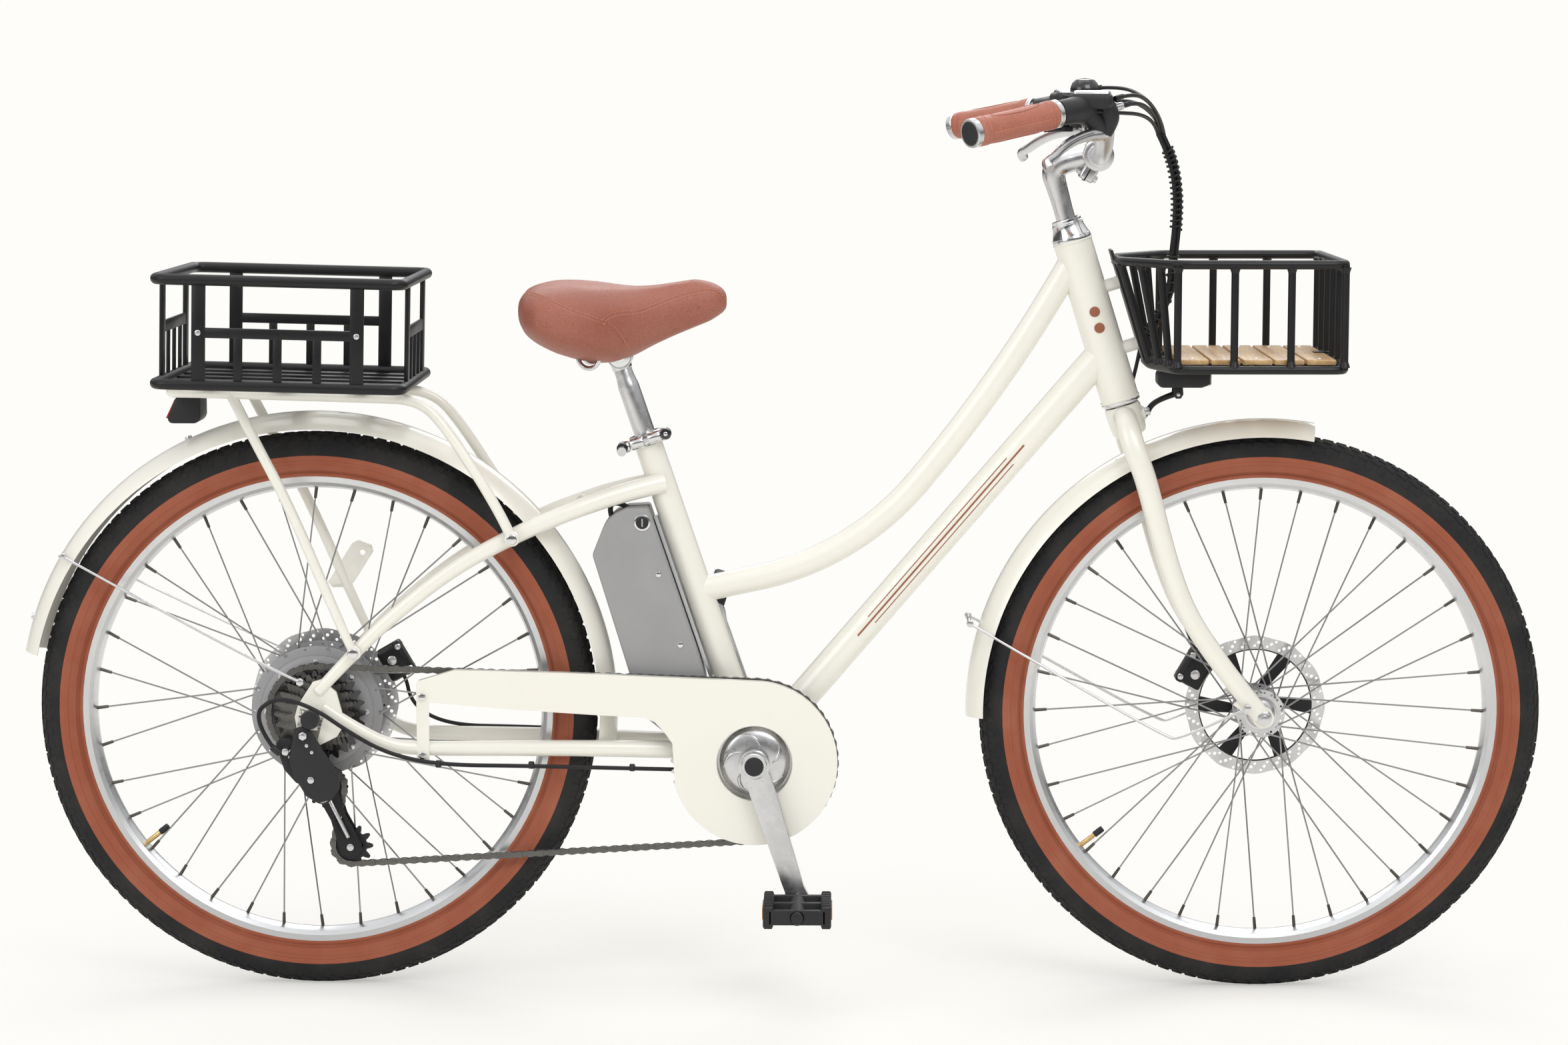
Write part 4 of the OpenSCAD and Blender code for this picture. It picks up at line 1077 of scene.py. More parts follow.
def make_headlight():
    """A flat lamp under the basket, on ears that turn on its pin."""
    outline = [(1006, 731), (1010, 727.5), (1058, 727.5), (1068, 731), (1068, 745), (1063, 748.5),
        (1012, 748.5), (1006, 744)]
    shell = plate("headlight", [outline], -22, 22, BLACK_PLASTIC, 2.6, 3)
    ears = [plate("ear", [[(1026, 730), (1025, 719), (1028, 714), (1034, 714), (1037, 719),
        (1036, 730)]], s * 9, s * 14, BLACK_PLASTIC, 0.8) for s in (-1, 1)]
    hood = block("hood", (1056, -23, 744), (1071, 23, 749), BLACK_PLASTIC, 1.2)
    fins = [block("fin", (1014 + 6 * k, -18, 747), (1017 + 6 * k, 18, 750), BLACK_PLASTIC, 0.6)
        for k in range(6)]
    glass = block("headlight_lens", (1064, -19, 730.5), (1069.6, 19, 744), CLEAR_LENS, 1.6, 3)
    rim = block("headlight_rim", (1063, -20.5, 729), (1067.4, 20.5, 745.5), CHROME, 1.2, 2)
    pin = disc("pin", LIGHT_PIVOT, 2.4, -15.5, 15.5, STEEL, 0.5, 16)
    nut = disc("nut", LIGHT_PIVOT, 4.2, 14, 17, STEEL, 0.5, 6)
    placed(joined("headlight_shell", shell, *ears, hood, *fins), "headlight", "black_plastic",
        "headlight")
    placed(glass, "headlight", "black_plastic")
    placed(joined("headlight_metal", rim, pin, nut), "headlight", "chrome")


make_rack()
make_crate()
make_tail_light()
make_basket()
make_deck()
make_headlight()


# ---- drive: chain, rings, cranks, pedals, derailleur ----
RING_R, COG_R = RING_TEETH * PITCH / 2 / pi, COG_TEETH * PITCH / 2 / pi
PULLEY_R = PULLEY_TEETH * PITCH / 2 / pi
LOOP = [((CRANK_AXLE.x, CRANK_AXLE.z), RING_R, 1), ((LOWER_PULLEY.x, LOWER_PULLEY.z), PULLEY_R, 1),
    ((UPPER_PULLEY.x, UPPER_PULLEY.z), PULLEY_R, -1), ((0, TYRE_R), COG_R, 1)]


def chain_y(x):
    return COG_Y + (RING_Y - COG_Y) * x / CRANK_AXLE.x


def tangent_angle(a, b):
    dx, dz = b[0][0] - a[0][0], b[0][1] - a[0][1]
    return math.atan2(dz, dx) + math.acos((a[2] * a[1] - b[2] * b[1]) / math.hypot(dx, dz))


def chain_line():
    """The chain's closed line as many close points in X and Z."""
    line = []
    for i, circle in enumerate(LOOP):
        before, after = LOOP[i - 1], LOOP[(i + 1) % 4]
        flip = 0 if circle[2] > 0 else pi
        first, last = tangent_angle(before, circle) + flip, tangent_angle(circle, after) + flip
        sweep = (circle[2] * (first - last)) % (2 * pi)
        line += [polar(circle[0], circle[1], first - circle[2] * sweep * k / 24)
            for k in range(25)]
    return line + line[:1]


def even_steps(line, count):
    """That many points, evenly spaced along a line."""
    lengths = [math.dist(a, b) for a, b in zip(line, line[1:])]
    total, places = sum(lengths), []
    for k in range(count):
        left, i = total * k / count, 0
        while left > lengths[i]:
            left -= lengths[i]
            i += 1
        t = left / lengths[i]
        places.append(tuple(p + (q - p) * t for p, q in zip(line[i], line[i + 1])))
    return places


def link_outline(half_pitch, radius, waist):
    """A side plate of a link: two round ends with a waist between them."""
    right = arc((half_pitch, 0), radius, range(-115, 116, 46))
    left = [(-x, -z) for x, z in right]
    return right + [(0, waist)] + left + [(0, -waist)]


def make_chain():
    line = chain_line()
    total = sum(math.dist(a, b) for a, b in zip(line, line[1:]))
    count = 2 * round(total / PITCH / 2)
    places = even_steps(line, count)
    outer, inner = [[plate("side", [link_outline(PITCH / 2, 4.1, 2.7)], y - 0.5, y + 0.5,
        CHAIN_STEEL, 0.15, 1) for y in (-apart, apart)] for apart in (2.9, 1.8)]
    pins = [disc("pin", (s * PITCH / 2, 0, 0), 1.8, -3.8, 3.8, CHAIN_STEEL, 0, 8) for s in (-1, 1)]
    rollers = [disc("roller", (s * PITCH / 2, 0, 0), 3.8, -1.3, 1.3, CHAIN_STEEL, 0, 10)
        for s in (-1, 1)]
    outer_link, inner_link = joined("outer_link", *outer, *pins), joined("inner_link", *inner,
        *rollers)
    moves = ([], [])
    zero = at(0, 0, 0)
    for k in range(count):
        a, b = places[k], places[(k + 1) % count]
        middle_x, middle_z = (a[0] + b[0]) / 2, (a[1] + b[1]) / 2
        turn = Matrix.Rotation(-math.atan2(b[1] - a[1], b[0] - a[0]), 4, "Y")
        spot = at(middle_x, chain_y(middle_x), middle_z)
        moves[k % 2].append(Matrix.Translation(spot) @ turn @ Matrix.Translation(-zero))
    chain = joined("chain", copies("outer_links", outer_link, moves[0]),
        copies("inner_links", inner_link, moves[1]))
    smooth(chain, 35)
    placed(chain, "frame", "chain_steel", "chain")


def toothed(centre, teeth):
    """The outline of a sprocket with round-bottomed teeth."""
    pitch_r = PITCH / 2 / sin(pi / teeth)
    root, tip = pitch_r - 3.9, pitch_r + 3.6
    outline = []
    for k in range(teeth):
        for share, r in ((-0.5, root), (-0.36, root + 0.5), (-0.25, pitch_r), (-0.1, tip),
                (0.1, tip), (0.25, pitch_r), (0.36, root + 0.5)):
            outline.append(polar(centre, r, 2 * pi * (k + share) / teeth))
    return outline


def make_sprockets():
    centre = (0, TYRE_R)
    cogs = []
    for i in range(7):
        teeth = COG_TEETH if i == 0 else 26 - 2 * i
        pitch_r = teeth * PITCH / 2 / pi
        holes = [ring_of(centre, 17, 32)]
        if i == 0:
            holes += [ring_of(place, 9, 16) for place in ring_of(centre, 37, 7)]
        cogs.append(plate("cog", [toothed(centre, teeth)] + holes, COG_Y - 0.9 - 4.5 * i,
            COG_Y + 0.9 - 4.5 * i, BLACK_GLOSS if i < 2 else CHAIN_STEEL, 0.25, 1))
        cogs.append(disc("spacer", (0, 0, TYRE_R), min(20, pitch_r - 8), COG_Y - 0.9 - 4.5 * i,
            COG_Y - 3.6 - 4.5 * i, CHAIN_STEEL, 0.3, 32))
    lock = turned("lockring", (0, -66, TYRE_R), [(7, 0), (15, 0), (19, 1), (20, 2.5), (20, 5),
        (7, 5)], STEEL, 48)
    placed(joined("sprockets", *cogs, lock), "sprockets", "steel", "sprockets")


def make_chainring():
    centre = (CRANK_AXLE.x, CRANK_AXLE.z)
    windows = []
    for a0 in full_circle(5):
        outer = [(82, a0 - 0.42 + 0.14 * j) for j in range(7)]
        inner = [(50, a0 + 0.36 - 0.12 * j) for j in range(7)]
        windows.append([polar(centre, r, a) for r, a in outer + inner])
    ring = plate("ring", [toothed(centre, RING_TEETH), ring_of(centre, 17, 32)] + windows,
        RING_Y - 1.5, RING_Y + 1.5, STEEL, 0.4, 1)
    cover = turned("cover", (CRANK_AXLE.x, -58.0, CRANK_AXLE.z), [(0, 0), (17, 0), (24, 0.6),
        (33, 2.2), (39, 4.4), (41.6, 6.6), (42, 8), (41, 9), (0, 9)], ALLOY, 96, angle=25)
    swirls = []
    for k in range(5):
        a0 = radians(72 * k)
        way = [(CRANK_AXLE.x + r * cos(a0 + t), -57.2 + lift, CRANK_AXLE.z + r * sin(a0 + t))
            for r, t, lift in ((21, 0.0, 0.2), (26, 0.14, 0.6), (31, 0.32, 1.6), (35, 0.55, 2.8),
            (37.5, 0.8, 3.6))]
        swirls.append(tube("swirl", way, 2.1, ALLOY, [0.5, 1, 1.15, 0.9, 0.4], sides=3, steps=6))
    sleeve = disc("sleeve", CRANK_AXLE, 20, -57, -36, ALLOY, 0.6, 48)
    placed(joined("chainring", ring, cover, *swirls, sleeve), "crankset", "polished_alloy",
        "chainring")


def crank_outline(end, hub_r, eye_r, neck):
    """A forged arm: a round hub and eye joined by a waist that narrows towards the pedal."""
    a = math.atan2(end.z - CRANK_AXLE.z, end.x - CRANK_AXLE.x)
    along, across = (cos(a), sin(a)), (-sin(a), cos(a))
    hub = arc((0, 0), hub_r, range(50, 311, 13))
    low = [(30, -neck), (80, -neck + 1.6), (CRANK_LENGTH - 26, -neck + 3.2),
        (CRANK_LENGTH - 14, -eye_r + 2.2)]
    eye = arc((CRANK_LENGTH, 0), eye_r, range(-100, 101, 20))
    high = [(u, -v) for u, v in reversed(low)]
    return [(CRANK_AXLE.x + along[0] * u + across[0] * v,
        CRANK_AXLE.z + along[1] * u + across[1] * v) for u, v in hub + low + eye + high]


def make_crank(side, end, y_in, y_out):
    s = -1 if side == "right" else 1
    arm = plate("arm", [crank_outline(end, 18.5, 14, 15.5)], s * y_in, s * y_out, ALLOY, 3.2, 4)
    face = turned("hub_face", (CRANK_AXLE.x, s * (y_out - 1), CRANK_AXLE.z),
        [(0, 0), (15.5, 0), (15.5, 2.2), (14.4, 3.2), (0, 3.2)] if s > 0 else [(0, -3.2),
        (14.4, -3.2), (15.5, -2.2), (15.5, 0), (0, 0)], ALLOY, 48)
    cap = disc("cap", CRANK_AXLE, 11.4, s * (y_out + 1.5), s * (y_out + 4), BLACK_PLASTIC, 0.8, 36)
    pin = disc("pin", end, 5.2, s * y_out, s * 176, STEEL, 0.6, 24)
    collar = disc("collar", end, 8.6, s * (y_out - 1), s * (y_out + 4), STEEL, 0.8, 6)
    name = "crank_" + side
    axle = [disc("axle", CRANK_AXLE, 8.3, -82, 70, STEEL, 0.6, 32)] if s > 0 else []
    placed(joined(name, arm, face), "crankset", "polished_alloy", name)
    placed(joined(name + "_pin", pin, collar, *axle), "crankset", "steel")
    placed(renamed(cap, name + "_cap"), "crankset", "black_plastic")


def make_pedal(side, end, turn):
    s = -1 if side == "right" else 1
    lo, hi = (-178, -88) if s < 0 else (88, 178)
    body = disc("body", end, 9.5, s * 87, s * 178, BLACK_PLASTIC, 1.2, 32)
    cap = disc("cap", end, 7.5, s * 177, s * 182, BLACK_PLASTIC, 1.5, 24)
    parts = [body, cap]
    for f in (-1, 1):
        x = end.x + f * 34
        parts.append(block("tread", (x - 6, lo, end.z - 13), (x + 6, hi, end.z + 13),
            BLACK_PLASTIC, 2.6, 3))
        for k in range(8):
            y = lo + 8 + k * 10.4
            for z in (-13, 13):
                parts.append(block("grip", (x - 5, y - 2.6, end.z + z - 1.4),
                    (x + 5, y + 2.6, end.z + z + 1.4), BLACK_RUBBER, 0.7, 1))
    for y in (lo + 4, (lo + hi) / 2, hi - 4):
        parts.append(block("web", (end.x - 34, y - 4, end.z - 9), (end.x + 34, y + 4, end.z + 9),
            BLACK_PLASTIC, 1.6, 2))
    reflectors = [block("reflector", (end.x + f * 40 - 1.2, lo + 22, end.z - 7),
        (end.x + f * 40 + 1.2, hi - 22, end.z + 7), AMBER_LENS, 0.6, 2) for f in (-1, 1)]
    frame_piece = joined(f"pedal_{side}", *parts)
    glass = joined(f"pedal_{side}_reflectors", *reflectors)
    for piece in (frame_piece, glass):
        moved(piece, turn_about(end, turn))
    body_name = "pedal_" + side
    placed(frame_piece, body_name, "black_plastic", body_name)
    placed(glass, body_name, "black_plastic")


def make_pulley(which, centre):
    spot = (centre.x, centre.z)
    holes = [ring_of(place, 2.6, 12) for place in ring_of(spot, 11.5, 5)]
    wheel = plate("wheel", [toothed(spot, PULLEY_TEETH), ring_of(spot, 4.2, 24)] + holes,
        COG_Y - 1.1, COG_Y + 1.1, BLACK_PLASTIC, 0.4, 1)
    hub = disc("hub", centre, 7.6, COG_Y - 4, COG_Y + 4, BLACK_PLASTIC, 0.8, 24)
    placed(joined(which + "_pulley", wheel, hub), which + "_pulley", "black_plastic",
        which + "_pulley")


def cage_outline():
    """The cage's long plate: a round end at each pulley and a slimmer middle."""
    a, b = (UPPER_PULLEY.x, UPPER_PULLEY.z), (LOWER_PULLEY.x, LOWER_PULLEY.z)
    angle = math.atan2(b[1] - a[1], b[0] - a[0])

    def spot(centre, radius, degrees):
        return polar(centre, radius, angle + radians(degrees))

    first = [spot(a, 14, d) for d in range(70, 291, 22)]
    last = [spot(b, 14, d) for d in range(-110, 111, 22)]
    middle = ((a[0] + b[0]) / 2, (a[1] + b[1]) / 2)
    return first + [spot(middle, 9.5, -90)] + last + [spot(middle, 9.5, 90)]


def make_derailleur():
    window = ring_of(((UPPER_PULLEY.x + LOWER_PULLEY.x) / 2,
        (UPPER_PULLEY.z + LOWER_PULLEY.z) / 2), 4.5, 16)
    plates = [plate("cage", [cage_outline(), window], y, y + 2.4, BLACK_PAINT, 0.7, 2)
        for y in (-46, -28.6)]
    bolts = [disc("bolt", q, 4.4, -49, -45, STEEL, 0.8, 20) for q in (UPPER_PULLEY, LOWER_PULLEY)]
    stop = disc("stop", ((UPPER_PULLEY + LOWER_PULLEY) / 2 + Vector((-9, 0, 4))), 2, -46, -26,
        BLACK_PAINT, 0.4, 12)
    placed(joined("derailleur_cage", *plates, stop), "derailleur_cage", "black_paint",
        "derailleur_cage")
    rib = rod("rib", (UPPER_PULLEY.x + 5, -48.6, UPPER_PULLEY.z - 14), (LOWER_PULLEY.x - 2, -48.6,
        LOWER_PULLEY.z + 12), 2.6, ALLOY, 0.8, 12)
    placed(joined("cage_bolts", *bolts, rib), "derailleur_cage", "steel")
    arm = plate("arm", [[(-19, 326), (-8, 329), (2, 322), (12, 304), (34, 270), (33, 252),
        (24, 240), (8, 236), (-6, 244), (-20, 268), (-26, 290)]], -86, -80, BLACK_PLASTIC, 2.0, 3)
    link = plate("link", [[(-44, 306), (-36, 313), (-24, 312), (0, 288), (15, 268), (12, 256),
        (-2, 250), (-20, 258), (-34, 274)]], -74, -58, BLACK_PLASTIC, 3.5, 4)
    knuckle = turned("knuckle", (UPPER_PULLEY.x, -48, UPPER_PULLEY.z),
        [(0, -33), (9, -33), (12.5, -31), (14, -27), (14, -2), (12.5, 0), (0, 0)], BLACK_PLASTIC,
        48)
    mount = turned("mount", (-8, -80, 318), [(0, -12), (6, -12), (9.5, -10.5), (10, -8), (10, 0),
        (0, 0)], BLACK_PLASTIC, 40)
    pivots = [disc("pivot", (x, 0, z), 4.2, -88, -56, STEEL, 0.8, 20) for x,
        z in ((-30, 298), (0, 264))]
    screw = disc("hanger_bolt", (-8, 0, 318), 5.4, -94, -90, STEEL, 1.0, 6)
    barrel = rod("barrel", (-36, -86, 296), (-46, -86, 304), 4.4, BLACK_PLASTIC, 0.8, 12)
    placed(joined("derailleur_body", arm, link, knuckle, mount, barrel), "frame", "black_plastic",
        "derailleur_body")
    placed(joined("derailleur_pivots", *pivots, screw), "frame", "steel")


GUARD_TAIL = [(124, 357), (124, 376), (127, 380), (170, 393), (300, 390)]


def make_chain_guard():
    """A pressed tray over the chain: a round front, a straight back and a lip along the edge."""
    centre = (CRANK_AXLE.x, CRANK_AXLE.z)
    big = arc(centre, 99, range(89, -165, -4))
    bottom = [(429, 305), (420, 318), (408, 331), (395, 336), (339, 339), (246, 345), (150, 353),
        (132, 355)]
    outline = big + bottom + GUARD_TAIL
    face = plate("face", [outline, ring_of(centre, 46.5, 72), ring_of((131, 361), 2.6, 16)], -62.5,
        -60, IVORY, 0, 1)
    round_edges(face, 1.1, 2, 40)
    lip = closed_band("lip", outline, -60.8, -52, 1.8)
    hole_edge = weld("hole_edge", (centre[0], -61.2, centre[1]), Y_AXIS, 46.4, 1.6)
    leg = plate("leg", [[(124, 284), (127, 281), (136, 281), (139, 284), (139, 362), (124, 362)]],
        -62.4, -60.2, IVORY, 0.5)
    placed(joined("chain_guard", face, lip, hole_edge, leg), "frame", "ivory_paint", "chain_guard")
    screws = [disc("screw", (x, 0, z), 4.6, -66, -62, CHROME, 1.3, 24) for x,
        z in ((131, 361), (131, 290))]
    # Black bars on the screw heads: painted shade standing in for the recessed screw slots.
    painted_slot_shades = [block("slot", (x - 3.4, -66.4, z - 0.5), (x + 3.4, -65.4, z + 0.5), BLACK_PAINT, 0.1,
        1) for x, z in ((131, 361), (131, 290))]
    placed(joined("guard_screws", *screws, *painted_slot_shades), "frame", "chrome")


def closed_band(name, outline, y0, y1, thickness):
    """A thin wall that follows an outline, from y0 to y1."""
    count = len(outline)
    verts = [at(x, y, z) for y in (y0, y1) for x, z in outline]
    faces = [(i, (i + 1) % count, count + (i + 1) % count, count + i) for i in range(count)]
    mesh = bpy.data.meshes.new(name)
    mesh.from_pydata(verts, [], faces)
    piece = object_of(name, mesh)
    tidy(piece)
    apply_modifier(piece, "SOLIDIFY", thickness=thickness * MM, offset=-1)
    smooth(piece, 35)
    return dress(piece, IVORY)


make_chain()
make_sprockets()
make_chainring()
make_crank("right", PEDAL_AT, 67, 82)
make_crank("left", LEFT_PEDAL_AT, 67, 82)
make_pedal("right", PEDAL_AT, 0)
make_pedal("left", LEFT_PEDAL_AT, -90 + math.degrees(CRANK_TURN))
make_pulley("upper", UPPER_PULLEY)
make_pulley("lower", LOWER_PULLEY)
make_derailleur()
make_chain_guard()


# ---- handlebar, grips, levers, bell and stem ----
BAR_ROUTE = [(933, 30, 1002), (935, 55, 1006), (936, 90, 1031), (929, 126, 1050), (908, 176, 1059),
    (886, 209, 1056.4), (870, 222, 1053)]
GRIP_WAY = (GRIP_OUT - GRIP_IN).normalized()
GRIP_LENGTH = (GRIP_OUT - GRIP_IN).length
LEVER_WAY = (LEVER_TIP - LEVER_PIVOT).normalized()
LEVER_AXIS = LEVER_WAY.cross(Vector((-0.857, -0.043, 0.514))).normalized()
LEVER_PULL = LEVER_AXIS.cross(LEVER_WAY)


def make_stem():
    quill = tube("quill", [on_head(0, 0, 190), on_head(0, 0, 232), on_head(0.5, 0, 248),
        (884, 0, 968), (880.5, 0, 980), (884, 0, 989), (893, 0, 994), (910, 0, 998),
        (930, 0, 1002)], 12.6, ALLOY, [0.9, 0.9, 0.92, 1.0, 1.1, 1.15, 1.12, 1.05, 1.1], sides=8,
        steps=12)
    barrel = disc("barrel", CLAMP, 18.6, -19, 19, ALLOY, 2.6, 64)
    sleeve = disc("sleeve", CLAMP, 13.6, -31, 31, ALLOY, 1.2, 48)
    jaw = block("jaw", CLAMP + Vector((-8, -16, -33)), CLAMP + Vector((10, 16, -13)), ALLOY, 3.2,
        4)
    moved(jaw, turn_about(CLAMP, 30))
    # A thin black slab through the clamp jaw: painted shade for the gap of the jaw's split.
    split = block("split", CLAMP + Vector((-0.8, -16.6, -34)), CLAMP + Vector((0.8, 16.6, -18)),
        BLACK_PAINT, 0.2, 1)
    moved(split, turn_about(CLAMP, 30))
    bolt = rod("bolt", CLAMP + Vector((-12, 0, -26)), CLAMP + Vector((14, 0, -26)), 4.2, STEEL,
        0.8, 24)
    moved(bolt, turn_about(CLAMP, 30))
    placed(joined("stem", quill, barrel, sleeve, jaw), "front_assembly", "polished_alloy", "stem")
    placed(joined("stem_bolt", bolt, split), "front_assembly", "steel")


def make_handlebar():
    sides = both_sides("sides", tube("side", BAR_ROUTE, 11.1, BRUSHED, sides=8))
    middle = disc("middle", CLAMP, 12.7, -32, 32, BRUSHED, 0.6, 48)
    ends = both_sides("ends", rod("end", GRIP_IN - GRIP_WAY * 2, GRIP_OUT, 11.1, BRUSHED, 0, 32))
    placed(joined("handlebar", sides, middle, ends), "front_assembly", "brushed_alloy",
        "handlebar")


def on_grip(along, degrees, radius):
    """A place on the left grip's surface: how far along it, which way round and how far out."""
    up = GRIP_WAY.cross(Vector((0, 0, 1))).normalized()
    out = GRIP_WAY.cross(up)
    a = radians(degrees)
    return GRIP_IN + GRIP_WAY * along + up * radius * cos(a) + out * radius * sin(a)


def make_grips():
    end = GRIP_LENGTH
    sleeve = turned("sleeve", GRIP_IN, [(11.3, 5), (15.4, 5), (16.2, 5.8), (16.6, 7.5), (16.6, 11),
        (16.1, 12), (16.6, 13), (16.6, 15.5), (16.0, 16.6), (15.9, 40), (15.7, 62), (15.9, 84),
        (16.2, end - 22), (16.7, end - 21), (16.7, end - 18.5), (16.2, end - 17.6),
        (16.7, end - 16.8), (16.6, end - 9.5), (16, end - 8.2), (11.3, end - 8.2)], GRIP_TAN, 64,
        GRIP_WAY, 50)
    inner = turned("collar", GRIP_IN, [(11.2, -2), (15.2, -2), (16.2, -1), (16.2, 4.2), (15.4, 5),
        (11.2, 5)], ALLOY, 64, GRIP_WAY)
    outer = turned("cap_ring", GRIP_IN, [(11.2, end - 8.2), (15.6, end - 8.2), (16.5, end - 7.2),
        (16.5, end - 1.2), (15.4, end), (13.6, end), (13.6, end - 2), (11.2, end - 2)], ALLOY, 64,
        GRIP_WAY)
    plug = turned("plug", GRIP_IN, [(0, end - 3), (13.5, end - 3), (13.5, end - 0.4),
        (12.6, end + 0.6), (0, end + 1)], BLACK_PLASTIC, 48, GRIP_WAY)
    lines = []
    for middle_turn in (100, 280):
        loop = [on_grip(GRIP_LENGTH / 2 - 3 + 36 * cos(a), middle_turn + 26 * sin(a), 15.9)
            for a in full_circle(40)]
        lines.append(closed_tube("line", loop, 0.65, GRIP_TAN, 3))
    stitches = []
    for middle_turn in (10, 190):
        for k in range(28):
            a = 22 + k * 3.0
            stitches.append(rod("stitch", on_grip(a, middle_turn - 1.6, 16.1),
                on_grip(a + 1.8, middle_turn + 1.6, 16.1), 0.42, THREAD, 0, 5))
    placed(both_sides("grips", joined("grips", sleeve, *lines)), "front_assembly", "tan_grip",
        "grips")
    placed(both_sides("grip_rings", joined("grip_rings", inner, outer)), "front_assembly",
        "polished_alloy")
    placed(both_sides("grip_plugs", plug), "front_assembly", "black_plastic")
    placed(both_sides("grip_stitches", joined("grip_stitches", *stitches)), "front_assembly",
        "tan_grip")


def lever_place(along, pull, lift=0.0):
    return LEVER_PIVOT + LEVER_WAY * along + LEVER_PULL * pull + LEVER_AXIS * lift


def make_levers():
    way = [(-2, 0), (14, 3.5), (30, 6.5), (62, 7.5), (96, 3.5), (120, -2), (136, -3), (144, -8),
        (146, -14)]
    blade = tube("blade", [lever_place(*q) for q in way], 6.0, ALLOY, [1.4, 1.4, 1.1, 1.0, 0.97,
        0.95, 0.95, 1.0, 1.05], sides=6)
    under = tube("under", [lever_place(*q, 3) for q in way[:6]], 4.2, ALLOY,
        [1.2, 1.3, 1.1, 1, 0.8, 0.5], sides=5)
    barrel = rod("barrel", lever_place(0, 0, -4.4), lever_place(0, 0, 4.4), 8.2, ALLOY, 1.2, 40)
    left = joined("brake_lever_left", blade, under, barrel)
    right = copies("brake_lever_right", joined("copy", duplicate(left)), [MIRROR])
    placed(left, "brake_lever_left", "polished_alloy", "brake_lever_left")
    placed(right, "brake_lever_right", "polished_alloy", "brake_lever_right")


def duplicate(piece):
    return object_of(piece.name + "_twin", piece.data.copy())


def make_perches():
    band = tube("band", [(918, 150, 1055), (908, 176, 1058), (896, 196, 1057.5),
        (884, 211, 1055.5), (874, 218, 1054)], 14.4, BLACK_PLASTIC, [1.1, 1.15, 1.1, 1.02, 1.0],
        sides=8)
    body = block("body", (888, 150, 1058), (938, 201, 1076), BLACK_PLASTIC, 6.5, 5)
    moved(body, turn_about((912, 176, 1066), 6, "Z"))
    nose = tube("nose", [(928, 172, 1062), (934, 170, 1052), (932, 168, 1040), (928, 168, 1030)],
        11.5, BLACK_PLASTIC, [1.1, 1.15, 1.0, 0.82], sides=6)
    arm = tube("arm", [(900, 190, 1058), (912, 182, 1048), (922, 174, 1038), (927, 168, 1032)], 10,
        BLACK_PLASTIC, [1.1, 1.1, 1.0, 0.9], sides=6)
    pin = rod("pin", lever_place(0, 0, -10), lever_place(0, 0, 10), 3.0, STEEL, 0.8, 20)
    clamp_bolt = rod("clamp_bolt", (906, 170, 1034), (906, 170, 1046), 3.4, STEEL, 0.8, 6)
    placed(both_sides("perches", joined("perches", band, body, nose, arm)), "front_assembly",
        "black_plastic", "control_housings")
    cover = block("cover", (893, 154, 1071), (935, 197, 1079.5), ALLOY, 4.2, 5)
    moved(cover, turn_about((912, 176, 1066), 6, "Z"))
    ferrule = rod("ferrule", (930, 172, 1058), (950, 163, 1062), 4.4, ALLOY, 0.8, 24)
    adjuster = rod("adjuster", (936, 168, 1059), (942, 165, 1060.5), 6.2, ALLOY, 0.8, 12)
    placed(both_sides("perch_covers", joined("perch_covers", cover, ferrule, adjuster)),
        "front_assembly", "polished_alloy")
    placed(both_sides("perch_pins", joined("perch_pins", pin, clamp_bolt)), "front_assembly",
        "steel")
    pod = block("shift_pod", (874, -198, 1044), (900, -172, 1062), BLACK_PLASTIC, 6, 5)
    stalk = rod("shift_stalk", (884, -186, 1038.6), (884, -186, 1048), 4, BLACK_PLASTIC, 0.4, 24)
    window = block("shift_window", (884, -196, 1061), (902, -176, 1063.2), CLEAR_LENS, 1.4, 3)
    placed(joined("shift_pod", pod, stalk), "front_assembly", "black_plastic")
    placed(window, "front_assembly", "black_plastic")


def make_shift_lever():
    hub = rod("hub", (884, -186, 1032.8), (884, -186, 1039), 8.2, BLACK_PLASTIC, 1.2, 40)
    paddle = tube("paddle", [(884, -186, 1036), (875, -190, 1036), (866, -193, 1036),
        (859, -194, 1036)], 3.3, BLACK_PLASTIC, [1.0, 0.95, 1.1, 1.25], sides=5)
    placed(joined("shift_lever", hub, paddle), "shift_lever", "black_plastic", "shift_lever")


def make_bell():
    x, y, z = 908, -140, 1077
    dome = turned("bell", (x, y, z), [(0, 17), (6, 16.4), (11, 14.2), (14.6, 10.2), (16.4, 5),
        (16.8, 1), (16.4, 0), (15.4, 0.6), (15, 4), (13, 9), (8, 13.4), (0, 15)], BLACK_GLOSS, 64,
        Z_AXIS)
    knob = turned("knob", (x, y, z), [(0, 20), (2.2, 19.4), (3, 18), (2.4, 16.4), (0, 16)], CHROME,
        32, Z_AXIS)
    base = rod("base", (x, y, z - 6), (x, y, z + 3), 8, BLACK_PLASTIC, 1, 32)
    strap = rod("strap", (918, -122, 1050), (906, -142, 1055), 15, BLACK_PLASTIC, 2, 40)
    post = rod("post", (x, y, z - 20), (x, y, z - 4), 6.5, BLACK_PLASTIC, 1, 24)
    placed(joined("bell", dome, base, strap, post, knob), "front_assembly", "black_paint", "bell")
    pivot = rod("pivot", (x - 6, y + 11, z - 9), (x - 6, y + 11, z - 4), 3.2, BLACK_PLASTIC, 0.8,
        20)
    arm = tube("arm", [(x - 6, y + 11, z - 6.5), (x - 16, y + 11, z - 6.5),
        (x - 25, y + 11, z - 5)], 2.4, BLACK_PLASTIC, [1, 0.9, 1.3], sides=4)
    placed(joined("bell_striker", pivot, arm), "bell_striker", "black_plastic", "bell_striker")


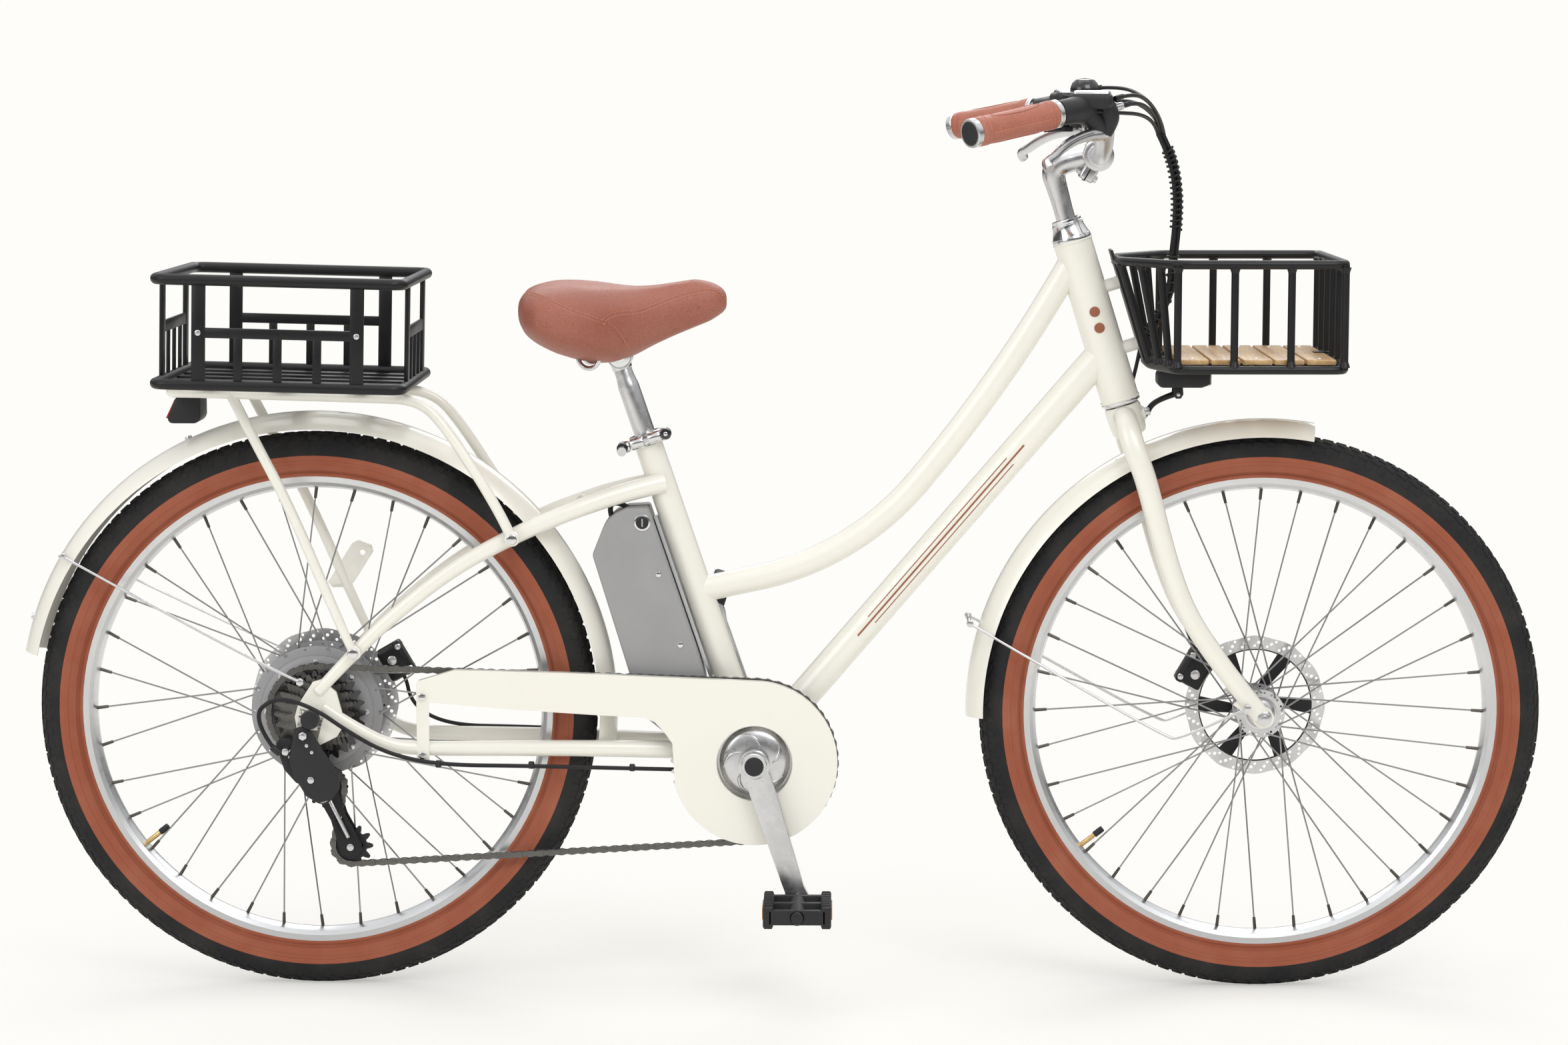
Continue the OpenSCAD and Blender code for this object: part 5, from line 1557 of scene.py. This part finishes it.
# ---- cables ----
BUNDLE = [(1003, -40, 1028), (1018, -30, 1000), (1026, -22, 960), (1026, -16, 920),
    (1022, -12, 880), (1021, -10, 845), (1006, -9, 810), (993, -9, 791)]


def coil(name, route, radius, wire_r, turns, material):
    """A plastic spiral wrapped round a route."""
    points = []
    count = turns * 10
    for k in range(count + 1):
        t = k / count * (len(route) - 1)
        i = min(int(t), len(route) - 2)
        a, b = Vector(route[i]), Vector(route[i + 1])
        centre = a.lerp(b, t - i)
        way = (b - a).normalized()
        side = way.cross(Y_AXIS).normalized()
        other = way.cross(side)
        turn = 2 * pi * turns * k / count
        points.append(centre + (side * cos(turn) + other * sin(turn)) * radius)
    return tube(name, points, wire_r, material, sides=3, steps=3)


def smooth_line(points, rounds=2):
    """A list of points with its corners cut twice, which keeps both ends."""
    line = [Vector(p) for p in points]
    for _ in range(rounds):
        cut = [line[0]]
        for a, b in zip(line, line[1:]):
            cut += [a.lerp(b, 0.25), a.lerp(b, 0.75)]
        line = cut + [line[-1]]
    return line


def make_cables():
    fine = smooth_line(BUNDLE)
    wires = []
    for dx, dy, r in ((3.6, 0, 2.5), (-2, 3.4, 2.5), (-2.4, -3.2, 2.5), (0.6, 0.6, 2.0)):
        wires.append(tube("wire", [Vector(p) + Vector((dx, dy, 0)) for p in BUNDLE], r,
            BLACK_RUBBER, sides=4))
    wrap_stretch = [p for p in fine if 905 < p.z < 1012]
    wrap = coil("wrap", wrap_stretch, 6.6, 1.5, 15, BLACK_RUBBER)
    tie = closed_tube("tie", [(x, y, 883) for x, y in ring_of((1022.6, -12), 6.6, 16)], 1.4,
        BLACK_RUBBER, 3)
    low_wrap_stretch = [p for p in fine if p.z < 868]
    low_wrap = coil("low_wrap", low_wrap_stretch, 6.2, 1.4, 9, BLACK_RUBBER)
    bundle = joined("control_cables", *wires, wrap, tie, low_wrap)
    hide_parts("control_cables")
    at(1026, -18, 940)
    at(994, -9, 796)
    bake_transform(bundle)
    feeds = [[(950, -163, 1062), (968, -140, 1066), (986, -96, 1058), (998, -58, 1044),
        (1003, -38, 1026)], [(940, -176, 1070), (962, -150, 1076), (984, -98, 1068),
        (1000, -56, 1048), (1006, -38, 1027)], [(912, -190, 1056), (944, -168, 1054),
        (976, -112, 1052), (996, -62, 1040), (1001, -41, 1027)],
        [(950, 163, 1062), (972, 126, 1068), (992, 50, 1060), (1004, -24, 1040),
        (1004, -42, 1026)], [(932, 168, 1080), (966, 128, 1084), (992, 48, 1072),
        (1006, -20, 1046), (1008, -38, 1027)]]
    wires = [tube("feed", way, 2.3, BLACK_RUBBER, sides=4) for way in feeds]
    sleeves = [rod("sleeve", way[0], Vector(way[0]).lerp(Vector(way[1]), 0.45), 3.1, BLACK_RUBBER,
        0.6, 16) for way in feeds]
    placed(joined("cable_feeds", *wires, *sleeves), "front_assembly", "cable_rubber")


def make_frame_cables():
    route = [(-44, -86, 303), (-70, -88, 340), (-40, -90, 366), (5, -90, 352), (45, -84, 322),
        (90, -74, 294), (150, -66, 279), (260, -54, 276), (380, -42, 271), (474, -36, 268)]
    cable = tube("cable", route, 2.5, BLACK_RUBBER, sides=4)
    clips = []
    for x, y, z in ((150, -62, 280), (260, -51, 277), (380, -39, 272)):
        clips.append(rod("clip", (x - 3, y - 2, z), (x + 3, y - 3, z), 4.6, BLACK_PLASTIC, 0.8,
            16))
    brake = tube("brake", [(78, 56, 392), (96, 66, 372), (104, 62, 330), (150, 58, 306),
        (240, 50, 306), (330, 42, 304)], 2.4, BLACK_RUBBER, sides=4)
    motor = tube("motor", [(-6, 84, 336), (22, 84, 318), (60, 76, 306), (130, 60, 286),
        (240, 50, 286), (330, 42, 286)], 2.6, BLACK_RUBBER, sides=4)
    placed(joined("frame_cables", cable, brake, motor, *clips), "frame", "cable_rubber",
        "frame_cables")
    hose = tube("front_brake_cable", [(988, 8, 782), (984, 34, 742), (968, 56, 690),
        (985, 66, 640), (1004, 68, 570), (1022, 68, 510), (1036, 68, 462), (1054, 62, 420),
        (1060, 52, 404)], 2.4, BLACK_RUBBER, sides=4)
    placed(hose, "front_assembly", "cable_rubber")


# ---- seat ----
SADDLE_ROWS = [(247, 52, 836, 803), (255, 82, 844, 789), (269, 100, 848, 779),
    (290, 107, 850, 769), (315, 107, 850, 762), (340, 99, 848, 759), (362, 84, 845, 761),
    (384, 66, 843, 769), (406, 52, 844, 781), (430, 42, 847.5, 792), (452, 36, 851, 801),
    (472, 32, 852.5, 809), (486, 27, 849, 815), (495, 17, 841, 820)]


def saddle_ring(x, half, top, bottom, count=28):
    """One section of the saddle: a crowned top, full sides and a tucked-in foot."""
    middle, height = (top + bottom) / 2, (top - bottom) / 2
    ring = []
    for k in range(count):
        a = 2 * pi * k / count
        c, s = cos(a), sin(a)
        power = 0.62 if s > 0 else 0.72
        foot = 1.0 if s > 0 else 1 - 0.16 * (-s) ** 1.5
        y = half * foot * math.copysign(abs(c) ** power, c)
        crown = 1.0 - (0.10 if s > 0 else 0) * (abs(y) / half) ** 2
        ring.append(at(x, y, middle + height * crown * math.copysign(abs(s) ** 0.75, s)))
    return ring


def loft(name, rings):
    count = len(rings[0])
    verts = [q for ring in rings for q in ring]
    faces = [[k for k in range(count)],
        [(len(rings) - 1) * count + k for k in reversed(range(count))]]
    for i in range(len(rings) - 1):
        for k in range(count):
            j = (k + 1) % count
            faces.append([i * count + k, (i + 1) * count + k, (i + 1) * count + j, i * count + j])
    mesh = bpy.data.meshes.new(name)
    mesh.from_pydata(verts, [], faces)
    piece = object_of(name, mesh)
    tidy(piece)
    return piece


def inflate(piece, cap):
    """Swells a padded piece with a short cloth simulation, moving no point further than cap."""
    pick(piece)
    before = [v.co.copy() for v in piece.data.vertices]
    cloth = piece.modifiers.new("cloth", "CLOTH")
    cloth.settings.use_pressure = True
    cloth.settings.uniform_pressure_force = 4
    cloth.settings.effector_weights.gravity = 0
    scene = bpy.context.scene
    for number in range(1, 21):
        scene.frame_set(number)
    bpy.ops.object.modifier_apply(modifier=cloth.name)
    scene.frame_set(1)
    for vertex, start in zip(piece.data.vertices, before):
        shift = vertex.co - start
        if shift.length > cap:
            vertex.co = start + shift.normalized() * cap


def surface_line(tree, points, side):
    """Points in X and Z carried in from the side onto the saddle's surface."""
    line = []
    for p in smooth_line([(x, 0, z) for x, z in points], 3):
        origin = at(p.x, side * 200, p.z)
        hit, normal, _, _ = tree.ray_cast(origin, Vector((0, -side, 0)))
        if hit:
            line.append((hit, normal))
    return line


def evened(line, step):
    """The same line with its points a step apart, in metres."""
    spots, left = [line[0]], step
    for (a, na), (b, nb) in zip(line, line[1:]):
        length = (b - a).length
        while length > left > 0:
            t = left / length
            a = a.lerp(b, t)
            spots.append((a.copy(), na.lerp(nb, t).normalized()))
            length = (b - a).length
            left = step
        left -= length
    return spots


def press_seam(piece, line, width, depth):
    """Draws the cover in along a seam."""
    tree = BVHTree.FromPolygons([q for q, _ in line],
        [(i, i, i + 1) for i in range(len(line) - 1)])
    for vertex in piece.data.vertices:
        near, _, _, gap = tree.find_nearest(vertex.co, width)
        if near is not None:
            share = 1 - gap / width
            vertex.co -= vertex.normal * depth * share * share


UPPER_SEAM = [(256, 842), (272, 841), (292, 833), (318, 822), (345, 812), (356, 808)]
NOSE_SEAM = [(350, 809), (358, 817), (370, 819), (388, 819), (405, 824), (425, 832), (450, 840),
    (474, 844), (485, 840), (492, 828)]
LOWER_SEAM = [(356, 808), (367, 797), (374, 784), (379, 772)]


def make_saddle():
    saddle = loft("saddle", [saddle_ring(*row) for row in SADDLE_ROWS])
    apply_modifier(saddle, "REMESH", mode="VOXEL", voxel_size=0.0045)
    apply_modifier(saddle, "SMOOTH", factor=0.5, iterations=6)
    inflate(saddle, 0.004)
    apply_modifier(saddle, "SUBSURF", levels=1, render_levels=1)
    apply_modifier(saddle, "SMOOTH", factor=0.5, iterations=4)
    tree = BVHTree.FromObject(saddle, bpy.context.evaluated_depsgraph_get())
    stitches, seams = [], []
    for side in (-1, 1):
        for points, double in ((UPPER_SEAM, True), (NOSE_SEAM, True), (LOWER_SEAM, False)):
            line = surface_line(tree, points, side)
            seams.append(line)
            spots = evened(line, 0.0034)
            for (a, na), (b, nb) in zip(spots, spots[1:]):
                way, across = (b - a).normalized(), na.cross(b - a).normalized()
                for offset in ((-0.0021, 0.0021) if double else (0.0016,)):
                    start = a + across * offset + na * 0.0001
                    stitches.append((start, start + way * 0.0022, na))
    for line in seams:
        press_seam(saddle, line, 0.0026, 0.0011)
    tidy(saddle)
    smooth(saddle, 60)
    dress(saddle, LEATHER)
    placed(saddle, "seatpost", "tan_leather", "saddle")
    clear_selection()
    bpy.ops.mesh.primitive_cylinder_add(vertices=5, radius=0.00042, depth=1)
    one = dress(named("stitch"), THREAD)
    moves = []
    for a, b, normal in stitches:
        turn = (b - a).to_track_quat("Z", "Y").to_matrix().to_4x4()
        size = Matrix.Diagonal((1, 1, (b - a).length, 1))
        moves.append(Matrix.Translation((a + b) / 2) @ turn @ size)
    thread = copies("saddle_stitches", one, moves)
    placed(thread, "seatpost", "tan_leather")


def make_seatpost():
    post = turned("post", on_seat(0, 0, 0), [(0, 222), (12, 222), (12.7, 223), (12.7, 470),
        (12.4, 473.5), (11.6, 479), (10.9, 484), (10.8, 498), (10.2, 500), (0, 500)], ALLOY, 64,
        SEAT_UP)
    rings = [weld("mark", on_seat(0, 0, h), SEAT_UP, 12.65, 0.25, ALLOY) for h in (300, 304)]
    collar = turned("collar", on_seat(0, 0, 0), [(10.7, 493), (11.8, 493), (12.2, 494),
        (12.2, 506), (11.6, 507), (10.7, 507)], CHROME, 48, SEAT_UP)
    head = disc("head", (366, 0, 764), 13, -25, 25, CHROME, 2.2, 48)
    nuts = [disc("nut", (366, 0, 764), 8, s * 25, s * 31, CHROME, 1, 6) for s in (-1, 1)]
    teeth = [weld("teeth", (366, s * 20, 764), Y_AXIS, 14.2, 0.9, CHROME) for s in (-1, 1)]
    rail = tube("rail", [(302, 40, 784), (312, 36, 772), (330, 26, 766), (352, 22, 766),
        (378, 22, 774), (400, 20, 788), (432, 14, 802)], 3.5, CHROME, sides=5)
    turns = [(30 + k * 0.35, polar((331, 764), 13, 2 * pi * k / 12)) for k in range(49)]
    spring = tube("spring", [(x, y, z) for y, (x, z) in turns], 2.4, CHROME, sides=4, steps=4)
    metal_parts = joined("rails", both_sides("rails", rail), both_sides("springs", spring), collar,
        head, *nuts, *teeth)
    placed(joined("seatpost", post, *rings), "seatpost", "polished_alloy", "seatpost")
    placed(renamed(metal_parts, "saddle_rails"), "seatpost", "chrome")
    pan = plate("pan", [[(300, 784), (345, 776), (390, 788), (436, 804), (434, 808), (388, 794),
        (345, 782), (302, 788)]], -20, 20, BLACK_PLASTIC, 0.8)
    placed(renamed(pan, "saddle_pan"), "seatpost", "black_plastic")


def make_seat_clamp():
    clamp_up = SEAT_LENGTH + 5
    collar = turned("collar", on_seat(0, 0, SEAT_LENGTH), [(12.8, 0), (12.8, 12), (18.6, 12),
        (20, 11), (20.6, 8), (20.6, 2), (20, 0), (16.9, 0), (16.9, -2.4), (20.2, -2.4), (20.2, -3),
        (12.8, -3)], CHROME, 64, SEAT_UP)
    ears = [rod("ear", on_seat(f, -21, clamp_up), on_seat(g, -21, clamp_up), 7.4, CHROME, 1.6, 32)
        for f, g in ((-19, -3), (3, 19))]
    placed(joined("seat_clamp", collar, *ears), "frame", "polished_alloy", "seat_clamp")
    skewer = rod("skewer", on_seat(-27, -21, clamp_up), on_seat(26, -21, clamp_up), 2.6, STEEL,
        0.3, 20)
    nut = rod("nut", on_seat(20, -21, clamp_up), on_seat(29, -21, clamp_up), 7.8, CHROME, 1.8, 32)
    # A black disc on the end of the nut: painted shade for the bolt's hole.
    painted_hole_shade = rod("hole", on_seat(28.4, -21, clamp_up), on_seat(29.3, -21, clamp_up), 4,
        BLACK_PAINT, 0.3, 6)
    cam = rod("cam", on_seat(-32, -21, clamp_up), on_seat(-20, -21, clamp_up), 7.4, CHROME, 2.2,
        32)
    handle = tube("handle", [on_seat(-28, -22, clamp_up), on_seat(-30, -30, clamp_up - 1),
        on_seat(-31, -42, clamp_up - 1), on_seat(-29, -52, clamp_up - 2)], 5.0, CHROME,
        [1.0, 0.85, 1.0, 1.1], sides=5)
    ends = [disc("end", on_seat(f, 0, clamp_up), 6.8, -31, -18, BLACK_GLOSS, 1.2, 40)
        for f in (25.5, -29)]
    heads = [disc("head", on_seat(f, 0, clamp_up), 3, -32, -30, CHROME, 0.8, 6) for f in (25.5,
        -29)]
    placed(joined("seat_clamp_lever", skewer, nut, painted_hole_shade, cam, handle, *ends, *heads),
        "seat_clamp_lever", "polished_alloy", "seat_clamp_lever")


make_stem()
make_handlebar()
make_grips()
make_levers()
make_perches()
make_shift_lever()
make_bell()
make_cables()
make_frame_cables()
make_saddle()
make_seatpost()
make_seat_clamp()


# ---- axles, stays, brakes, battery and marks ----
def mudguard_stay(name, points, body):
    wire = both_sides("wire", tube("wire", points, 1.7, STEEL, sides=4))
    x, y, z = points[-1]
    ends = [disc("end", (x, 0, z), 4.8, s * (y - 4), s * (y + 4), STEEL, 0.8, 6) for s in (-1, 1)]
    x, y, z = points[0]
    eyes = [disc("eye", (x, 0, z), 4.2, s * (y - 3), s * (y + 3), STEEL, 0.8, 16) for s in (-1, 1)]
    bridge = rod("bridge", (x, -36, z), (x, 36, z), 2.6, STEEL, 0.6, 16)
    placed(joined(name, wire, bridge, *ends, *eyes), body, "steel")


def make_rear_hardware():
    z = TYRE_R
    axle = disc("axle", (0, 0, z), 5.9, -86, 86, STEEL, 0.5, 32)
    washers = [disc("washer", (0, 0, z), 10.6, s * 74, s * 78, STEEL, 0.5, 40) for s in (-1, 1)]
    nuts = [disc("nut", (0, 0, z), 9.4, s * 77.5, s * 85, STEEL, 0.8, 6) for s in (-1, 1)]
    bolts = []
    for x, y, height, r in ((241, 78.5, 552, 6.2), (52, 84.5, 416, 6.2)):
        bolts += [disc("bolt", (x, 0, height), r, s * y, s * (y + 4.5), CHROME, 1.5, 32)
            for s in (-1, 1)]
    hanger = disc("hanger", (-8, 0, 318), 7, -80, -74, STEEL, 0.8, 6)
    placed(joined("frame_hardware", axle, *washers, *nuts, *bolts, hanger), "frame", "chrome",
        "frame_hardware")
    caps = [turned("cap", (0, s * 82, z), [(0, s * 13), (6, s * 12.6), (9.4, s * 11),
        (10.8, s * 8), (11, s * 3), (11.6, 0), (0, 0)], BLACK_PLASTIC, 48) for s in (-1, 1)]
    placed(joined("axle_caps", *caps), "frame", "black_plastic")
    mudguard_stay("rear_mudguard_stays", [(-301, 35, 525), (-268, 39, 508), (-232, 45, 489),
        (-54, 72, 398), (-12, 80, 381)], "frame")


def make_front_hardware():
    x, z = WHEELBASE, TYRE_R
    axle = disc("axle", (x, 0, z), 4.5, -68, 68, STEEL, 0.5, 32)
    nuts = [disc("nut", (x, 0, z), 8.8, s * 57, s * 64, STEEL, 0.8, 6) for s in (-1, 1)]
    washers = [disc("washer", (x, 0, z), 10, s * 55.8, s * 57.4, STEEL, 0.3, 40) for s in (-1, 1)]
    arm = tube("light_arm", [(986, 0, 688), (994, 0, 694), (1000, 0, 706), (1014, 0, 714),
        (1029, 0, 719)], 3.4, BLACK_PAINT, [1.2, 1.1, 1, 1, 1.1], sides=5)
    eye = disc("light_eye", LIGHT_PIVOT, 5.4, -8, 8, BLACK_PAINT, 0.8, 24)
    crown_nut = rod("crown_nut", on_head(22, 0, -22), on_head(30, 0, -22), 6, STEEL, 1, 6)
    placed(joined("fork_hardware", axle, *nuts, *washers, crown_nut), "front_assembly", "chrome",
        "fork_hardware")
    placed(joined("light_arm", arm, eye), "front_assembly", "black_paint")
    mudguard_stay("front_mudguard_stays", [(784, 35, 446), (806, 39, 434), (830, 44, 420),
        (1016, 62, 314), (1034, 66, 312), (1112, 69, 350)], "front_assembly")
    screws = [rod("screw", q, q + Vector((-0.32, 0, 0.95)) * 4, 4.4, CHROME, 1.2, 20)
        for q in (Vector((962, -9, 639)), Vector((962, 9, 639)))]
    placed(joined("front_mudguard_screws", *screws), "front_assembly", "chrome")


def make_mudguard_fittings():
    """The two bolts through the rear mudguard."""
    bolts = []
    for degrees in (162, 115):
        a = radians(degrees)
        x, z = polar((0, TYRE_R), 360, a)
        spot = Vector((x, 0, z))
        bolts.append(rod("bolt", spot, spot + Vector((cos(a), 0, sin(a))) * 4, 4.6, CHROME, 1.4,
            20))
    placed(joined("rear_mudguard_bolts", *bolts), "frame", "chrome")


def caliper(end, place, turn, y0, y1, slot0, slot1, body):
    """A mechanical disc brake: two half bodies, an arm, an adjuster and its two bolts."""
    x, _, z = place

    def part(low, high, rounding=3.0, material=BLACK_PAINT):
        piece = block("part", (x + low[0], low[1], z + low[2]),
            (x + high[0], high[1], z + high[2]), material, rounding, 3)
        return moved(piece, turn_about(place, turn))

    outer = part((-22, slot1, -15), (22, y1, 17), 4.5)
    inner = part((-20, y0, -13), (20, slot0, 17), 3.5)
    bridge = part((-22, y0 + 1, 9), (22, y1 - 1, 19), 3.0)
    drum = moved(disc("drum", (x - 4, 0, z + 1), 13, y1 - 1, y1 + 7, BLACK_PAINT, 2, 40),
        turn_about(place, turn))
    arm = part((-9, y1 + 5, 2), (24, y1 + 9, 11), 1.6)
    pads = part((-14, slot0 - 0.4, -14), (14, slot1 + 0.4, 6), 0.6, BRUSHED)
    bolts = [moved(disc("bolt", (x + dx, 0, z + 15), 3.6, y0 - 3, y1 + 2.5, STEEL, 0.8, 16),
        turn_about(place, turn)) for dx in (-15, 15)]
    knob = moved(disc("knob", (x - 4, 0, z + 1), 6, y0 - 4, y0 + 1, STEEL, 1, 12),
        turn_about(place, turn))
    placed(joined(end + "_caliper", outer, inner, bridge, drum, arm), body, "black_paint",
        end + "_caliper")
    placed(joined(end + "_caliper_bolts", *bolts, knob, pads), body, "steel")


BATTERY_SIDE = [(333, 528), (346, 561), (352, 570), (360, 577), (374, 583), (404, 586), (420, 536),
    (458, 414), (464, 392), (468, 370), (462, 346), (446, 320), (438, 311), (430, 308), (420, 312),
    (398, 330), (377, 384)]


def make_battery():
    inner = on_seat(-23, 0, 0)

    def behind(q):
        """Keeps an outline point clear of the seat tube's rail."""
        offset = (Vector((q[0], 0, q[1])) - inner).dot(SEAT_FORWARD)
        shift = max(0, offset)
        return q[0] - shift * SEAT_FORWARD.x, q[1] - shift * SEAT_FORWARD.z

    outline = [behind(q) for q in BATTERY_SIDE]
    shell = plate("battery", [outline], -36, 36, BATTERY_GREY, 7.0, 5)
    groove = closed_band("battery_seam", outline, -0.7, 0.7, 0.8)
    dress(groove, BLACK_PLASTIC)
    for vertex in groove.data.vertices:
        vertex.co += (vertex.co - at(400, 0, 450)) * 0.002
    placed(shell, "battery", "battery_shell", "battery")
    placed(groove, "battery", "battery_shell")
    key_x, key_z = 393, 567
    ring = disc("ring", (key_x, 0, key_z), 10, -37.4, -35, CHROME, 0.8, 40)
    screws = [disc("screw", (x, 0, z), 3.6, s * 37.4, s * 35, CHROME, 0.8, 20) for s in (-1, 1)
        for x, z in ((412, 505), (438, 420))]
    placed(joined("battery_screws", ring, *screws), "battery", "chrome")
    lock = disc("lock", (key_x, 0, key_z), 7.6, -38.6, -31, BLACK_PLASTIC, 0.8, 40)
    slot = block("slot", (key_x - 0.8, -39, key_z - 4.6), (key_x + 0.8, -38, key_z + 4.6), STEEL,
        0.2, 1)
    placed(joined("battery_lock", lock, slot), "battery_lock", "black_plastic", "battery_lock")
    handle = tube("battery_handle", [(356, 0, 566), (350, 0, 582), (362, 0, 589), (376, 0, 580)],
        3.2, BLACK_PLASTIC)
    placed(handle, "battery", "black_plastic")
    finish_node("battery_rail", BRUSHED)


def make_derailleur_spring():
    """The return spring between the derailleur's pivots, and the heads of its two stop screws."""
    spring = coil("spring", [(-27, -78, 297), (-18, -79, 287), (-9, -79, 277)], 5.2, 1.1, 7, STEEL)
    screws = [rod("stop_screw", (x, -90, z), (x, -82, z), 2.2, STEEL, 0.4, 10) for x,
        z in ((-4, 306), (2, 298))]
    ring = weld("ring", (UPPER_PULLEY.x, -80, UPPER_PULLEY.z), Y_AXIS, 10.5, 1.0, ALLOY)
    placed(joined("derailleur_spring", spring, *screws, ring), "frame", "steel")


def make_marks():
    """Plain pinstripes and two plain dots a side, where such a bicycle carries its decoration."""
    a, b = Vector((527, 0, 285.5)), Vector((938, 0, 764))
    way = (b - a).normalized()
    normal = Vector((-way.z, 0, way.x))
    stripes = []
    for lift, start, end in ((5.5, 0.34, 0.74), (-5.5, 0.34, 0.74), (0, 0.30, 0.78)):
        depth = math.sqrt(18.45 ** 2 - lift ** 2)
        for side in (-1, 1):
            first = a.lerp(b, start) + normal * lift + Vector((0, side * depth, 0))
            last = a.lerp(b, end) + normal * lift + Vector((0, side * depth, 0))
            stripes.append(rod("stripe", first, last, 0.62 if lift else 1.1, MARK_BROWN, 0, 10))
    placed(joined("down_tube_stripes", *stripes), "frame", "ivory_paint")
    badges = []
    for side in (-1, 1):
        for h in (92, 112):
            spot = on_head(0, side * 22.75, h)
            badges.append(rod("dot", spot, spot + Vector((0, side * 0.8, 0)), 6.2, MARK_BROWN, 0.3,
                48))
    placed(joined("head_marks", *badges), "frame", "ivory_paint")


make_rear_hardware()
make_front_hardware()
make_mudguard_fittings()
caliper("rear", Vector((85, 0, 385)), 60, 40, 64, 50, 54, "frame")
caliper("front", Vector((1062, 0, 378)), -60, 30, 60, 36.5, 41.5, "front_assembly")
make_battery()
make_derailleur_spring()
make_marks()
